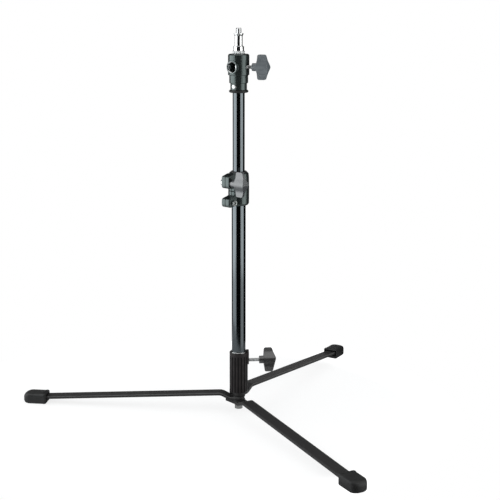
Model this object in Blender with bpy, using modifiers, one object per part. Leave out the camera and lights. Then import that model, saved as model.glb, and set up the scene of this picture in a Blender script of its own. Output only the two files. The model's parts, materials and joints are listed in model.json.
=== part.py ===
"""A low backdrop stand: three flat folding legs, a base socket, a two-section column and a spigot head."""

import math

import bmesh
import bpy
from mathutils import Euler, Matrix, Vector

# Clearances, in metres
SEAT_GAP = 0.0003  # between a piece and the face that it rests on, turns on or slides in

# Legs: flat bars, the front one fixed under the socket
LEG_WIDTH = 0.020
LEG_THICKNESS = 0.005
LEG_REACH = 0.357  # hub axis to the middle of the rubber foot
LEG_ARCH_RISE = 0.007
LEG_ARCH_START = 0.0115
LEG_ARCH_RUN = 0.0215
LEG_EDGE_RADIUS = 0.0011
LEFT_LEG_ANGLE = math.radians(175)
RIGHT_LEG_ANGLE = math.radians(60)
FRONT_LEG_ANGLE = math.radians(-60)
TAIL_LENGTH = 0.0205  # how far the front leg's hub plate runs past the axis
TAIL_WIDTH = 0.032
STOP_THICKNESS = 0.003

# Rubber feet
FOOT_LENGTH = 0.042
FOOT_WIDTH = 0.029
FOOT_HEIGHT = 0.0185
FOOT_CORNER = 0.010
FOOT_END_ROUNDING = 0.0085
FOOT_EDGE_RADIUS = 0.0024
FOOT_MOUTH_DEPTH = 0.010
FOOT_MOUTH_MARGIN = 0.0026
FOOT_END_WALL = 0.006

# Hub stack, from the ground up
GROUND_CLEARANCE = 0.0048
HUB_BOLT_DIAMETER = 0.008
HUB_HEAD_ACROSS_FLATS = 0.013
HUB_HEAD_HEIGHT = 0.0053
LOCK_WASHER_DIAMETER = 0.0140
LOCK_WASHER_THICKNESS = 0.0020
ZINC_WASHER_DIAMETER = 0.0170
ZINC_WASHER_THICKNESS = 0.0013
FRICTION_WASHER_DIAMETER = 0.022
FRICTION_WASHER_THICKNESS = 0.0012
HUB_PLATE_DIAMETER = 0.027
HUB_PLATE_THICKNESS = 0.0025

# Base socket
SOCKET_DIAMETER = 0.031
SOCKET_HEIGHT = 0.0690
SOCKET_FLOOR = 0.0075
SOCKET_FLUTES = 18
SOCKET_FLUTE_RADIUS = 0.0019
SOCKET_FLUTE_DEPTH = 0.0009
SOCKET_RIM_BAND = 0.0065
SOCKET_RIM_CHAMFER = 0.0008
LUG_WIDTH = 0.0115
LUG_PROUD = 0.0015
LUG_ABOVE_RIM = 0.0025
LUG_DROP = 0.0225
SOCKET_SCREW_DROP = 0.0155  # rim down to the screw's axis
SOCKET_SCREW_OUT = 0.0180  # lug face to the knob
SOCKET_KNOB_ANGLE = math.radians(7)
SOCKET_KNOB_TURN = math.radians(-32)  # how the wing happens to stand in the photograph

# Column tubes
LOWER_TUBE_DIAMETER = 0.0235
LOWER_TUBE_WALL = 0.00145
UPPER_TUBE_WALL = 0.0012
PLUG_FLANGE = 0.003
PLUG_DEPTH = 0.012
TUBE_FOOT_HEIGHT = 0.0055

# Clamp collar
COLLAR_HEIGHT = 0.0550
COLLAR_TOP = 0.4135
COLLAR_ABOVE_TUBE = 0.0295  # the collar stands this far over the lower tube's end
COLLAR_WALL = 0.0052
COLLAR_SHOULDER = 0.0075
EAR_REACH = 0.0325
EAR_THICKNESS = 0.0083
CLAMP_SLIT = 0.0012
CLAMP_ANGLE = math.radians(-131)
UPPER_BOLT_INSET = 0.0073  # end of the ears to the bolt
LOWER_BOLT_INSET = 0.0105
UPPER_EAR_HEIGHT = 0.020
UPPER_EAR_DROP = 0.0045
LOWER_EAR_HEIGHT = 0.0152
LOWER_EAR_BELOW = 0.0015
RELIEF_SLOT = 0.0016
BUSH_FLANGE_THICKNESS = 0.0013
FIXING_SCREW_DIAMETER = 0.005
FIXING_NUT_ACROSS_FLATS = 0.0085
FIXING_NUT_HEIGHT = 0.0036
CLAMP_WASHER_DIAMETER = 0.0125
CLAMP_WASHER_THICKNESS = 0.0013

# Wing knobs, all three from one mould
KNOB_SPAN = 0.041
KNOB_HUB_RADIUS = 0.0070
KNOB_TIP_HALF = 0.0023
KNOB_WING_START = 0.0088
KNOB_WING_DEPTH = 0.0135
KNOB_RIDGE = 0.0062
KNOB_EDGE_RADIUS = 0.0009
KNOB_SCREW_DIAMETER = 0.006
KNOB_SCREW_HOLD = 0.014  # how deep the screw sits in the knob

# Head casting
HEAD_TOP = 0.608
HEAD_DIAMETER = 0.035
HEAD_BODY_HEIGHT = 0.0345
HEAD_STEP_DIAMETER = 0.031
HEAD_STEP_HEIGHT = 0.013
HEAD_NECK_DIAMETER = 0.0272
HEAD_NECK_HEIGHT = 0.0107
HEAD_EDGE_RADIUS = 0.003
HEAD_TUBE_DEPTH = 0.0125  # how far the upper tube enters the casting
HEAD_RING_DIAMETER = 0.032
HEAD_RING_HEIGHT = 0.0045
SIDE_BORE_DROP = 0.021
SIDE_BORE_ANGLE = math.radians(-128)
SIDE_BORE_BEYOND = 0.008  # how far the side bore runs past the head's axis
SIDE_BOSS_DIAMETER = 0.0228
SIDE_BOSS_REACH = 0.0178
HEAD_KNOB_ANGLE = math.radians(-18)
HEAD_KNOB_OUT = 0.0240  # head axis to the knob's hub
HEAD_RECESS_DIAMETER = 0.0160
HEAD_RECESS_FLOOR = 0.0130
HEAD_SCREW_ANGLE = math.radians(-121)
HEAD_SCREW_DIAMETER = 0.0038
HEAD_SCREW_CAP_DIAMETER = 0.0070
HEAD_SCREW_CAP_HEIGHT = 0.0014

# Spigot: 5/8 inch, with a 3/8 inch thread
SPIGOT_DIAMETER = 0.0159
SPIGOT_DEPTH = 0.043
SPIGOT_SHOULDER_DIAMETER = 0.0174
SPIGOT_SHOULDER_HEIGHT = 0.0072
SPIGOT_NECK_DIAMETER = 0.0128
SPIGOT_NECK_HEIGHT = 0.0190
SPIGOT_DISC_THICKNESS = 0.0016
SPIGOT_THREAD_DIAMETER = 0.0095
SPIGOT_THREAD_LENGTH = 0.0088
COLLAR_RING_DIAMETER = 0.0200
COLLAR_RING_HEIGHT = 0.0047

# Worked out from the driving dimensions
LEG_HALF = LEG_WIDTH / 2
HUB_HEAD_TOP = GROUND_CLEARANCE + HUB_HEAD_HEIGHT
LOCK_WASHER_BOTTOM = HUB_HEAD_TOP + SEAT_GAP
ZINC_WASHER_BOTTOM = LOCK_WASHER_BOTTOM + LOCK_WASHER_THICKNESS + SEAT_GAP
LEG_STEP = LEG_THICKNESS + FRICTION_WASHER_THICKNESS + 2 * SEAT_GAP
FRONT_LEG_BOTTOM = ZINC_WASHER_BOTTOM + ZINC_WASHER_THICKNESS + SEAT_GAP
LEFT_LEG_BOTTOM = FRONT_LEG_BOTTOM + LEG_STEP
RIGHT_LEG_BOTTOM = LEFT_LEG_BOTTOM + LEG_STEP
HUB_PLATE_BOTTOM = RIGHT_LEG_BOTTOM + LEG_THICKNESS + SEAT_GAP
SOCKET_BOTTOM = HUB_PLATE_BOTTOM + HUB_PLATE_THICKNESS + SEAT_GAP
SOCKET_TOP = SOCKET_BOTTOM + SOCKET_HEIGHT
SOCKET_BORE = LOWER_TUBE_DIAMETER / 2 + SEAT_GAP
SOCKET_RADIUS = SOCKET_DIAMETER / 2
LUG_FACE = SOCKET_RADIUS + LUG_PROUD
PLUG_BOTTOM = SOCKET_BOTTOM + SOCKET_FLOOR + SEAT_GAP
LOWER_TUBE_BOTTOM = PLUG_BOTTOM + PLUG_FLANGE + SEAT_GAP
UPPER_TUBE_RADIUS = LOWER_TUBE_DIAMETER / 2 - LOWER_TUBE_WALL - SEAT_GAP
COLLAR_BORE = LOWER_TUBE_DIAMETER / 2 + SEAT_GAP
COLLAR_RADIUS = COLLAR_BORE + COLLAR_WALL
COLLAR_BOTTOM = COLLAR_TOP - COLLAR_HEIGHT
LOWER_TUBE_TOP = COLLAR_TOP - COLLAR_ABOVE_TUBE
UPPER_EAR_TOP = COLLAR_TOP - UPPER_EAR_DROP
UPPER_EAR_BOTTOM = UPPER_EAR_TOP - UPPER_EAR_HEIGHT
LOWER_EAR_BOTTOM = COLLAR_BOTTOM - LOWER_EAR_BELOW
LOWER_EAR_TOP = LOWER_EAR_BOTTOM + LOWER_EAR_HEIGHT
UPPER_BOLT = (EAR_REACH - UPPER_BOLT_INSET, (UPPER_EAR_TOP + UPPER_EAR_BOTTOM) / 2 - 0.001)
LOWER_BOLT = (EAR_REACH - LOWER_BOLT_INSET, (LOWER_EAR_TOP + LOWER_EAR_BOTTOM) / 2 + 0.0005)
EAR_FACE = CLAMP_SLIT / 2 + EAR_THICKNESS
HEAD_RADIUS = HEAD_DIAMETER / 2
HEAD_STEP_TOP = HEAD_TOP - HEAD_BODY_HEIGHT
HEAD_NECK_TOP = HEAD_STEP_TOP - HEAD_STEP_HEIGHT
HEAD_BOTTOM = HEAD_NECK_TOP - HEAD_NECK_HEIGHT
UPPER_TUBE_TOP = HEAD_BOTTOM + HEAD_TUBE_DEPTH
HEAD_RING_BOTTOM = HEAD_BOTTOM - SEAT_GAP - HEAD_RING_HEIGHT
BUSH_TOP = COLLAR_TOP + SEAT_GAP + BUSH_FLANGE_THICKNESS
TELESCOPE_DOWN = HEAD_RING_BOTTOM - BUSH_TOP - SEAT_GAP  # the head ring meets the bush there
TUBE_FOOT_BOTTOM = LOWER_TUBE_BOTTOM + PLUG_DEPTH + 2 * SEAT_GAP + TELESCOPE_DOWN
UPPER_TUBE_BOTTOM = TUBE_FOOT_BOTTOM + TUBE_FOOT_HEIGHT + SEAT_GAP
SPIGOT_BORE = SPIGOT_DIAMETER / 2 + SEAT_GAP
SPIGOT_BORE_FLOOR = HEAD_TOP - SPIGOT_DEPTH - 2 * SEAT_GAP
SIDE_BORE_HEIGHT = HEAD_TOP - SIDE_BORE_DROP
HEAD_SCREW_HEIGHT = HEAD_NECK_TOP - HEAD_NECK_HEIGHT / 2
SCREW_RADIUS = KNOB_SCREW_DIAMETER / 2

ROUND_STEPS = 40
SMALL_STEPS = 24


def clear_scene():
    for old in list(bpy.data.objects):
        bpy.data.objects.remove(old, do_unlink=True)


def new_collection(name):
    collection = bpy.data.collections.new(name)
    bpy.context.scene.collection.children.link(collection)
    return collection


def new_material(name, color, roughness, metallic):
    material = bpy.data.materials.new(name)
    material.use_nodes = True
    shader = material.node_tree.nodes["Principled BSDF"]
    shader.inputs["Base Color"].default_value = (*color, 1)
    shader.inputs["Roughness"].default_value = roughness
    shader.inputs["Metallic"].default_value = metallic
    return material


clear_scene()
PARTS = new_collection("backdrop_stand")
CUTTERS = new_collection("cutters")
STAND = bpy.data.objects.new("stand", None)
PARTS.objects.link(STAND)

BLACK_PAINT = new_material("black_paint", (0.035, 0.034, 0.034), 0.45, 0.0)
BLACK_ANODISED = new_material("black_anodised", (0.03, 0.033, 0.036), 0.28, 0.6)
CAST_BLACK = new_material("cast_black", (0.045, 0.052, 0.055), 0.42, 0.1)
KNOB_PLASTIC = new_material("knob_plastic", (0.05, 0.058, 0.064), 0.5, 0.0)
RUBBER = new_material("rubber", (0.03, 0.03, 0.031), 0.75, 0.0)
CHROME = new_material("chrome", (0.8, 0.8, 0.82), 0.12, 1.0)
ZINC = new_material("zinc", (0.5, 0.5, 0.5), 0.35, 1.0)
NYLON = new_material("nylon", (0.05, 0.05, 0.05), 0.5, 0.0)
BRASS = new_material("brass", (0.7, 0.5, 0.2), 0.3, 1.0)


def add_part(name, mesh, material):
    """A named piece of the stand, placed in the column's own frame."""
    part = bpy.data.objects.new(name, mesh)
    PARTS.objects.link(part)
    part.parent = STAND
    mesh.materials.clear()
    mesh.materials.append(material)
    return part


def add_cutter(name, mesh):
    cutter = bpy.data.objects.new(name, mesh)
    CUTTERS.objects.link(cutter)
    cutter.parent = STAND
    cutter.hide_render = True
    cutter.display_type = "WIRE"
    return cutter


def turned_mesh(name, profile, steps=ROUND_STEPS, closed=False):
    """A revolved mesh about Z. The profile holds (radius, height), its outer side from top to bottom."""
    bm = bmesh.new()
    verts = [bm.verts.new((radius, 0, height)) for radius, height in profile]
    for start, end in zip(verts, verts[1:]):
        bm.edges.new((start, end))
    if closed:
        bm.edges.new((verts[-1], verts[0]))
    mesh = bpy.data.meshes.new(name)
    bm.to_mesh(mesh)
    bm.free()
    lathe = bpy.data.objects.new(name + "_profile", mesh)
    CUTTERS.objects.link(lathe)
    screw = lathe.modifiers.new("turn", "SCREW")
    screw.steps = steps
    screw.render_steps = steps
    screw.use_merge_vertices = True
    screw.merge_threshold = 0.00002
    return baked_mesh(lathe, name)


def baked_mesh(source, name):
    """The evaluated mesh of a helper object, which is then removed."""
    graph = bpy.context.evaluated_depsgraph_get()
    mesh = bpy.data.meshes.new_from_object(source.evaluated_get(graph))
    mesh.name = name
    mesh.transform(source.matrix_world)
    bpy.data.objects.remove(source, do_unlink=True)
    return mesh


def plate_mesh(name, outline, thickness):
    """A flat outline in XY with its thickness centred on Z, caps welded to the sides."""
    curve = bpy.data.curves.new(name, "CURVE")
    curve.dimensions = "2D"
    curve.fill_mode = "BOTH"
    curve.extrude = thickness / 2
    spline = curve.splines.new("POLY")
    spline.points.add(len(outline) - 1)
    for point, (x, y) in zip(spline.points, outline):
        point.co = (x, y, 0, 1)
    spline.use_cyclic_u = True
    flat = bpy.data.objects.new(name + "_outline", curve)
    CUTTERS.objects.link(flat)
    mesh = baked_mesh(flat, name)
    bm = bmesh.new()
    bm.from_mesh(mesh)
    bmesh.ops.remove_doubles(bm, verts=bm.verts, dist=1e-6)
    bmesh.ops.dissolve_limit(bm, angle_limit=math.radians(0.5), verts=bm.verts, edges=bm.edges)
    bmesh.ops.recalc_face_normals(bm, faces=bm.faces)
    bm.to_mesh(mesh)
    bm.free()
    return mesh


def rod_mesh(name, radius, start, end, steps=SMALL_STEPS, tip_radius=None):
    """A cylinder or cone from one point to another."""
    start = Vector(start)
    end = Vector(end)
    along = end - start
    turn = along.to_track_quat("Z", "Y").to_matrix().to_4x4()
    bm = bmesh.new()
    bmesh.ops.create_cone(
        bm,
        cap_ends=True,
        segments=steps,
        radius1=radius,
        radius2=radius if tip_radius is None else tip_radius,
        depth=along.length,
        matrix=Matrix.Translation((start + end) / 2) @ turn,
    )
    mesh = bpy.data.meshes.new(name)
    bm.to_mesh(mesh)
    bm.free()
    return mesh


def box_mesh(name, low, high):
    low = Vector(low)
    high = Vector(high)
    bm = bmesh.new()
    bmesh.ops.create_cube(bm, size=1, matrix=Matrix.Translation((low + high) / 2))
    bmesh.ops.scale(
        bm, vec=high - low, space=Matrix.Translation(-(low + high) / 2), verts=bm.verts
    )
    mesh = bpy.data.meshes.new(name)
    bm.to_mesh(mesh)
    bm.free()
    return mesh


def joined_mesh(name, meshes):
    """Several separate shapes in one mesh, for a cutter."""
    bm = bmesh.new()
    for mesh in meshes:
        bm.from_mesh(mesh)
        bpy.data.meshes.remove(mesh)
    joined = bpy.data.meshes.new(name)
    bm.to_mesh(joined)
    bm.free()
    return joined


def combine(part, tool_mesh, operation):
    """A Boolean on the piece, its tool kept among the cutters."""
    tool = add_cutter(tool_mesh.name, tool_mesh)
    modifier = part.modifiers.new(tool_mesh.name, "BOOLEAN")
    modifier.operation = operation
    modifier.object = tool
    modifier.solver = "EXACT"
    tool.matrix_basis = part.matrix_basis.copy()
    return modifier


def round_edges(part, width, angle=30, segments=2):
    """A Bevel on the piece's sharp edges."""
    bevel = part.modifiers.new("rounded", "BEVEL")
    bevel.width = width
    bevel.segments = segments
    bevel.limit_method = "ANGLE"
    bevel.angle_limit = math.radians(angle)
    bevel.use_clamp_overlap = True


def finish(part, angle=32):
    """Bakes the modifiers and shades the round faces smooth."""
    bpy.context.view_layer.update()
    graph = bpy.context.evaluated_depsgraph_get()
    mesh = bpy.data.meshes.new_from_object(part.evaluated_get(graph))
    mesh.name = part.name
    part.modifiers.clear()
    part.data = mesh
    mesh.shade_smooth()
    mesh.set_sharp_from_angle(angle=math.radians(angle))
    return part


def rounded_outline(corners, steps=4):
    """The polygon of (x, y, radius) corners, anticlockwise, with an arc at each rounded corner."""
    points = []
    count = len(corners)
    for index, (x, y, radius) in enumerate(corners):
        here = Vector((x, y))
        if radius <= 0:
            points.append((x, y))
            continue
        back = (Vector(corners[index - 1][:2]) - here).normalized()
        ahead = (Vector(corners[(index + 1) % count][:2]) - here).normalized()
        half = back.angle(ahead) / 2
        centre = here + (back + ahead).normalized() * (radius / math.sin(half))
        first = here + back * (radius / math.tan(half)) - centre
        last = here + ahead * (radius / math.tan(half)) - centre
        start = math.atan2(first.y, first.x)
        sweep = math.atan2(last.y, last.x) - start
        sweep = (sweep + math.pi) % (2 * math.pi) - math.pi
        for step in range(steps + 1):
            turn = start + sweep * step / steps
            points.append((centre.x + radius * math.cos(turn), centre.y + radius * math.sin(turn)))
    return points


def upright(mesh):
    """Turns a plate drawn in XY so that its outline stands in XZ."""
    mesh.transform(Matrix.Rotation(math.radians(90), 4, "X"))
    return mesh


def facing(angle):
    """Turns local +Z to point out from the column at this angle, with local +Y up."""
    return Matrix.Rotation(angle, 4, "Z") @ Matrix(
        ((0, 0, 1, 0), (1, 0, 0, 0), (0, 1, 0, 0), (0, 0, 0, 1))
    )


def out_from_column(angle, radius, height, turn=0):
    """The placing of a piece whose local +Z points out from the column, turned on that axis."""
    place = Matrix.Translation((radius * math.cos(angle), radius * math.sin(angle), height))
    return place @ facing(angle) @ Matrix.Rotation(turn, 4, "Z")


def ring_part(name, outer, inner, bottom, top, material, steps=ROUND_STEPS, edge=0.0):
    """A turned ring, with a small chamfer on its outer edges."""
    profile = [
        (inner, top),
        (outer - edge, top),
        (outer, top - edge),
        (outer, bottom + edge),
        (outer - edge, bottom),
        (inner, bottom),
    ]
    if edge == 0:
        profile = [(inner, top), (outer, top), (outer, bottom), (inner, bottom)]
    return finish(add_part(name, turned_mesh(name, profile, steps, closed=True), material))


def leg_centre(bottom):
    """Points (distance, height) on the middle line of a bar whose hub end rests at this height."""
    hub = bottom + LEG_THICKNESS / 2
    peak = hub + LEG_ARCH_RISE
    arch_end = LEG_ARCH_START + LEG_ARCH_RUN
    slope = (FOOT_HEIGHT / 2 - peak) / (LEG_REACH - arch_end)
    points = [(LEG_ARCH_START, hub)]
    steps = 10
    for step in range(1, steps + 1):
        t = step / steps
        rise = (3 * t**2 - 2 * t**3) * (peak - hub)
        lean = (t**3 - t**2) * LEG_ARCH_RUN * slope
        points.append((LEG_ARCH_START + LEG_ARCH_RUN * t, hub + rise + lean))
    return points, slope


def on_straight(centre, slope, distance):
    """A point on the straight outer run of the bar's middle line."""
    end = centre[-1]
    return (distance, end[1] + slope * (distance - end[0]))


def side_outline(points, thickness):
    """The side view of a bar of this thickness along these points."""
    line = [Vector(point) for point in points]
    sides = ([], [])
    for index, here in enumerate(line):
        before = line[max(index - 1, 0)]
        after = line[min(index + 1, len(line) - 1)]
        along = (after - before).normalized()
        offset = Vector((-along.y, along.x)) * thickness / 2
        sides[0].append(tuple(here - offset))
        sides[1].append(tuple(here + offset))
    return sides[0] + sides[1][::-1]


def leg_mesh(name, bottom):
    """A flat bar with its hub arch, cut to a round end at the hub."""
    centre, slope = leg_centre(bottom)
    outer = LEG_REACH + FOOT_LENGTH / 2 - FOOT_END_WALL
    points = [(-LEG_HALF, centre[0][1]), *centre, on_straight(centre, slope, outer)]
    return upright(plate_mesh(name, side_outline(points, LEG_THICKNESS), LEG_WIDTH))


def hub_end_outline(half, inner_corner):
    """The bar seen from above, with a round or square inner end."""
    outer = LEG_REACH + FOOT_LENGTH / 2 - FOOT_END_WALL
    corner = 0.004
    return rounded_outline(
        [
            (-inner_corner, -half, half - 0.0001),
            (outer, -half, corner),
            (outer, half, corner),
            (-inner_corner, half, half - 0.0001),
        ],
        steps=8,
    )


def folding_leg(name, bottom, angle):
    """A leg that swings on the hub bolt."""
    part = add_part(name, leg_mesh(name, bottom), BLACK_PAINT)
    part.rotation_euler = Euler((0, 0, angle))
    plan = plate_mesh(name + "_plan", hub_end_outline(LEG_HALF, LEG_HALF), 4 * FOOT_HEIGHT)
    plan.transform(Matrix.Translation((0, 0, FOOT_HEIGHT)))
    combine(part, plan, "INTERSECT")
    hole = rod_mesh(
        name + "_bolt_hole", HUB_BOLT_DIAMETER / 2 + SEAT_GAP, (0, 0, 0), (0, 0, SOCKET_BOTTOM)
    )
    combine(part, hole, "DIFFERENCE")
    round_edges(part, LEG_EDGE_RADIUS)
    return finish(part)


def stop_reach(stopped_angle):
    """How far sideways the stop reaches before it meets the leg that it holds open."""
    between = abs(stopped_angle - (FRONT_LEG_ANGLE + math.pi))
    along = TAIL_LENGTH - STOP_THICKNESS
    return along * math.tan(between) - (LEG_HALF + SEAT_GAP) / math.cos(between)


def front_leg():
    """The fixed leg. Its wide hub plate turns up behind the socket, as a stop for both folding legs."""
    name = "front_leg"
    part = add_part(name, leg_mesh(name, FRONT_LEG_BOTTOM), BLACK_PAINT)
    part.rotation_euler = Euler((0, 0, FRONT_LEG_ANGLE))
    outer = LEG_REACH + FOOT_LENGTH / 2 - FOOT_END_WALL
    corners = [
        (-LEG_HALF, -LEG_HALF, 0),
        (outer, -LEG_HALF, 0.004),
        (outer, LEG_HALF, 0.004),
        (-LEG_HALF, LEG_HALF, 0),
    ]
    combine(part, plate_mesh(name + "_plan", rounded_outline(corners), 4 * FOOT_HEIGHT), "INTERSECT")
    half = TAIL_WIDTH / 2
    tail = rounded_outline(
        [
            (-TAIL_LENGTH, -half, 0.002),
            (LEG_ARCH_START / 2, -LEG_HALF, 0.02),
            (LEG_ARCH_START, -LEG_HALF, 0),
            (LEG_ARCH_START, LEG_HALF, 0),
            (LEG_ARCH_START / 2, LEG_HALF, 0.02),
            (-TAIL_LENGTH, half, 0.002),
        ]
    )
    tail_plate = plate_mesh("hub_tail", tail, LEG_THICKNESS)
    tail_plate.transform(Matrix.Translation((0, 0, FRONT_LEG_BOTTOM + LEG_THICKNESS / 2)))
    combine(part, tail_plate, "UNION")
    low = (-TAIL_LENGTH, -stop_reach(LEFT_LEG_ANGLE), FRONT_LEG_BOTTOM + LEG_THICKNESS / 2)
    high = (STOP_THICKNESS - TAIL_LENGTH, stop_reach(RIGHT_LEG_ANGLE), RIGHT_LEG_BOTTOM + LEG_THICKNESS)
    combine(part, box_mesh("leg_stop", low, high), "UNION")
    hole = rod_mesh(
        name + "_bolt_hole", HUB_BOLT_DIAMETER / 2 + SEAT_GAP, (0, 0, 0), (0, 0, SOCKET_BOTTOM)
    )
    combine(part, hole, "DIFFERENCE")
    round_edges(part, LEG_EDGE_RADIUS)
    return finish(part)


def rubber_foot(name, leg_bottom, angle):
    """A moulded cap over the bar's end, with a wider mouth."""
    half = FOOT_WIDTH / 2
    inner = LEG_REACH - FOOT_LENGTH / 2
    outer = LEG_REACH + FOOT_LENGTH / 2
    corners = [
        (inner, -half, 0.002),
        (outer, -half, FOOT_CORNER),
        (outer, half, FOOT_CORNER),
        (inner, half, 0.002),
    ]
    mesh = plate_mesh(name, rounded_outline(corners, steps=5), FOOT_HEIGHT)
    mesh.transform(Matrix.Translation((0, 0, FOOT_HEIGHT / 2)))
    part = add_part(name, mesh, RUBBER)
    part.rotation_euler = Euler((0, 0, angle))
    round_edges(part, FOOT_EDGE_RADIUS, angle=50)
    side = rounded_outline(
        [
            (inner - 0.01, -0.01, 0),
            (outer + 0.0002, -0.01, 0),
            (outer + 0.0002, FOOT_HEIGHT + 0.0002, FOOT_END_ROUNDING),
            (inner - 0.01, FOOT_HEIGHT + 0.0002, 0),
        ],
        steps=5,
    )
    combine(part, upright(plate_mesh(name + "_end", side, 2 * FOOT_WIDTH)), "INTERSECT")
    centre, slope = leg_centre(leg_bottom)
    bar_end = outer - FOOT_END_WALL + SEAT_GAP
    hollows = (("pocket", bar_end, SEAT_GAP), ("mouth", inner + FOOT_MOUTH_DEPTH, FOOT_MOUTH_MARGIN))
    for hollow, end, margin in hollows:
        ends = [on_straight(centre, slope, distance) for distance in (inner - 0.01, end)]
        outline = side_outline(ends, LEG_THICKNESS + 2 * margin)
        mesh = upright(plate_mesh(f"{name}_{hollow}", outline, LEG_WIDTH + 2 * margin))
        combine(part, mesh, "DIFFERENCE")
    return finish(part)


def hex_mesh(name, across_flats, bottom, top):
    """A hexagon prism about Z."""
    return rod_mesh(name, across_flats / 2 / math.cos(math.pi / 6), (0, 0, bottom), (0, 0, top), steps=6)


def hub_bolt():
    """The hexagon bolt that holds the legs under the socket."""
    part = add_part(
        "hub_bolt", hex_mesh("hub_bolt", HUB_HEAD_ACROSS_FLATS, GROUND_CLEARANCE, HUB_HEAD_TOP), ZINC
    )
    shank_top = SOCKET_BOTTOM + SOCKET_FLOOR - SEAT_GAP
    shank = rod_mesh(
        "hub_bolt_shank", HUB_BOLT_DIAMETER / 2, (0, 0, HUB_HEAD_TOP - 0.001), (0, 0, shank_top)
    )
    combine(part, shank, "UNION")
    return finish(part)


def hub_stack():
    """The washers between the legs and the plate under the socket."""
    bore = HUB_BOLT_DIAMETER / 2 + SEAT_GAP
    friction = FRICTION_WASHER_DIAMETER / 2
    ring_part(
        "lock_washer",
        LOCK_WASHER_DIAMETER / 2,
        bore,
        LOCK_WASHER_BOTTOM,
        LOCK_WASHER_BOTTOM + LOCK_WASHER_THICKNESS,
        ZINC,
        SMALL_STEPS,
    )
    ring_part(
        "zinc_washer",
        ZINC_WASHER_DIAMETER / 2,
        bore,
        ZINC_WASHER_BOTTOM,
        ZINC_WASHER_BOTTOM + ZINC_WASHER_THICKNESS,
        ZINC,
        SMALL_STEPS,
    )
    under = (("lower_friction_washer", FRONT_LEG_BOTTOM), ("upper_friction_washer", LEFT_LEG_BOTTOM))
    for name, leg_bottom in under:
        bottom = leg_bottom + LEG_THICKNESS + SEAT_GAP
        ring_part(name, friction, bore, bottom, bottom + FRICTION_WASHER_THICKNESS, NYLON, SMALL_STEPS)
    ring_part(
        "hub_plate",
        HUB_PLATE_DIAMETER / 2,
        bore,
        HUB_PLATE_BOTTOM,
        HUB_PLATE_BOTTOM + HUB_PLATE_THICKNESS,
        BLACK_PAINT,
        ROUND_STEPS,
        0.0006,
    )


def flute_cutters():
    """Upright cylinders around the socket, one for each groove."""
    centre_radius = SOCKET_RADIUS - SOCKET_FLUTE_DEPTH + SOCKET_FLUTE_RADIUS
    flutes = []
    for index in range(SOCKET_FLUTES):
        turn = 2 * math.pi * (index + 0.5) / SOCKET_FLUTES
        x = centre_radius * math.cos(turn)
        y = centre_radius * math.sin(turn)
        bottom = (x, y, SOCKET_BOTTOM - 0.002)
        top = (x, y, SOCKET_TOP - SOCKET_RIM_BAND)
        flutes.append(rod_mesh("flute", SOCKET_FLUTE_RADIUS, bottom, top, steps=10))
    return joined_mesh("socket_flutes", flutes)


def base_socket():
    """The fluted socket that takes the column, with a lug for its set screw."""
    outer = SOCKET_RADIUS
    bolt_bore = HUB_BOLT_DIAMETER / 2 + SEAT_GAP
    floor = SOCKET_BOTTOM + SOCKET_FLOOR
    profile = [
        (SOCKET_BORE, SOCKET_TOP - SOCKET_RIM_CHAMFER),
        (SOCKET_BORE + SOCKET_RIM_CHAMFER, SOCKET_TOP),
        (outer - SOCKET_RIM_CHAMFER, SOCKET_TOP),
        (outer, SOCKET_TOP - SOCKET_RIM_CHAMFER),
        (outer, SOCKET_BOTTOM),
        (bolt_bore, SOCKET_BOTTOM),
        (bolt_bore, floor),
        (SOCKET_BORE, floor),
    ]
    part = add_part("base_socket", turned_mesh("base_socket", profile, closed=True), BLACK_PAINT)
    combine(part, flute_cutters(), "DIFFERENCE")
    top = SOCKET_TOP + LUG_ABOVE_RIM
    lug = plate_mesh(
        "screw_lug",
        rounded_outline(
            [
                (-LUG_WIDTH / 2, top - LUG_DROP - LUG_ABOVE_RIM, 0.0035),
                (LUG_WIDTH / 2, top - LUG_DROP - LUG_ABOVE_RIM, 0.0035),
                (LUG_WIDTH / 2, top, 0.0035),
                (-LUG_WIDTH / 2, top, 0.0035),
            ]
        ),
        LUG_FACE - SOCKET_BORE - 0.0008,
    )
    middle = (LUG_FACE + SOCKET_BORE + 0.0008) / 2
    lug.transform(Matrix.Translation((0, 0, middle)))
    lug.transform(facing(SOCKET_KNOB_ANGLE))
    combine(part, lug, "UNION")
    height = SOCKET_TOP - SOCKET_SCREW_DROP
    hole = rod_mesh(
        "screw_hole", SCREW_RADIUS + SEAT_GAP, (0, 0, SOCKET_BORE - 0.003), (0, 0, LUG_FACE + 0.002)
    )
    hole.transform(Matrix.Translation((0, 0, height)) @ facing(SOCKET_KNOB_ANGLE))
    combine(part, hole, "DIFFERENCE")
    return finish(part)


def knob_half_width(along):
    """Half the wing's thickness at this distance from the knob's axis."""
    share = min(abs(along) / (KNOB_SPAN * 0.33), 1)
    swell = math.cos(share * math.pi / 2) ** 2
    return KNOB_TIP_HALF + (KNOB_HUB_RADIUS - KNOB_TIP_HALF) * swell


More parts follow.
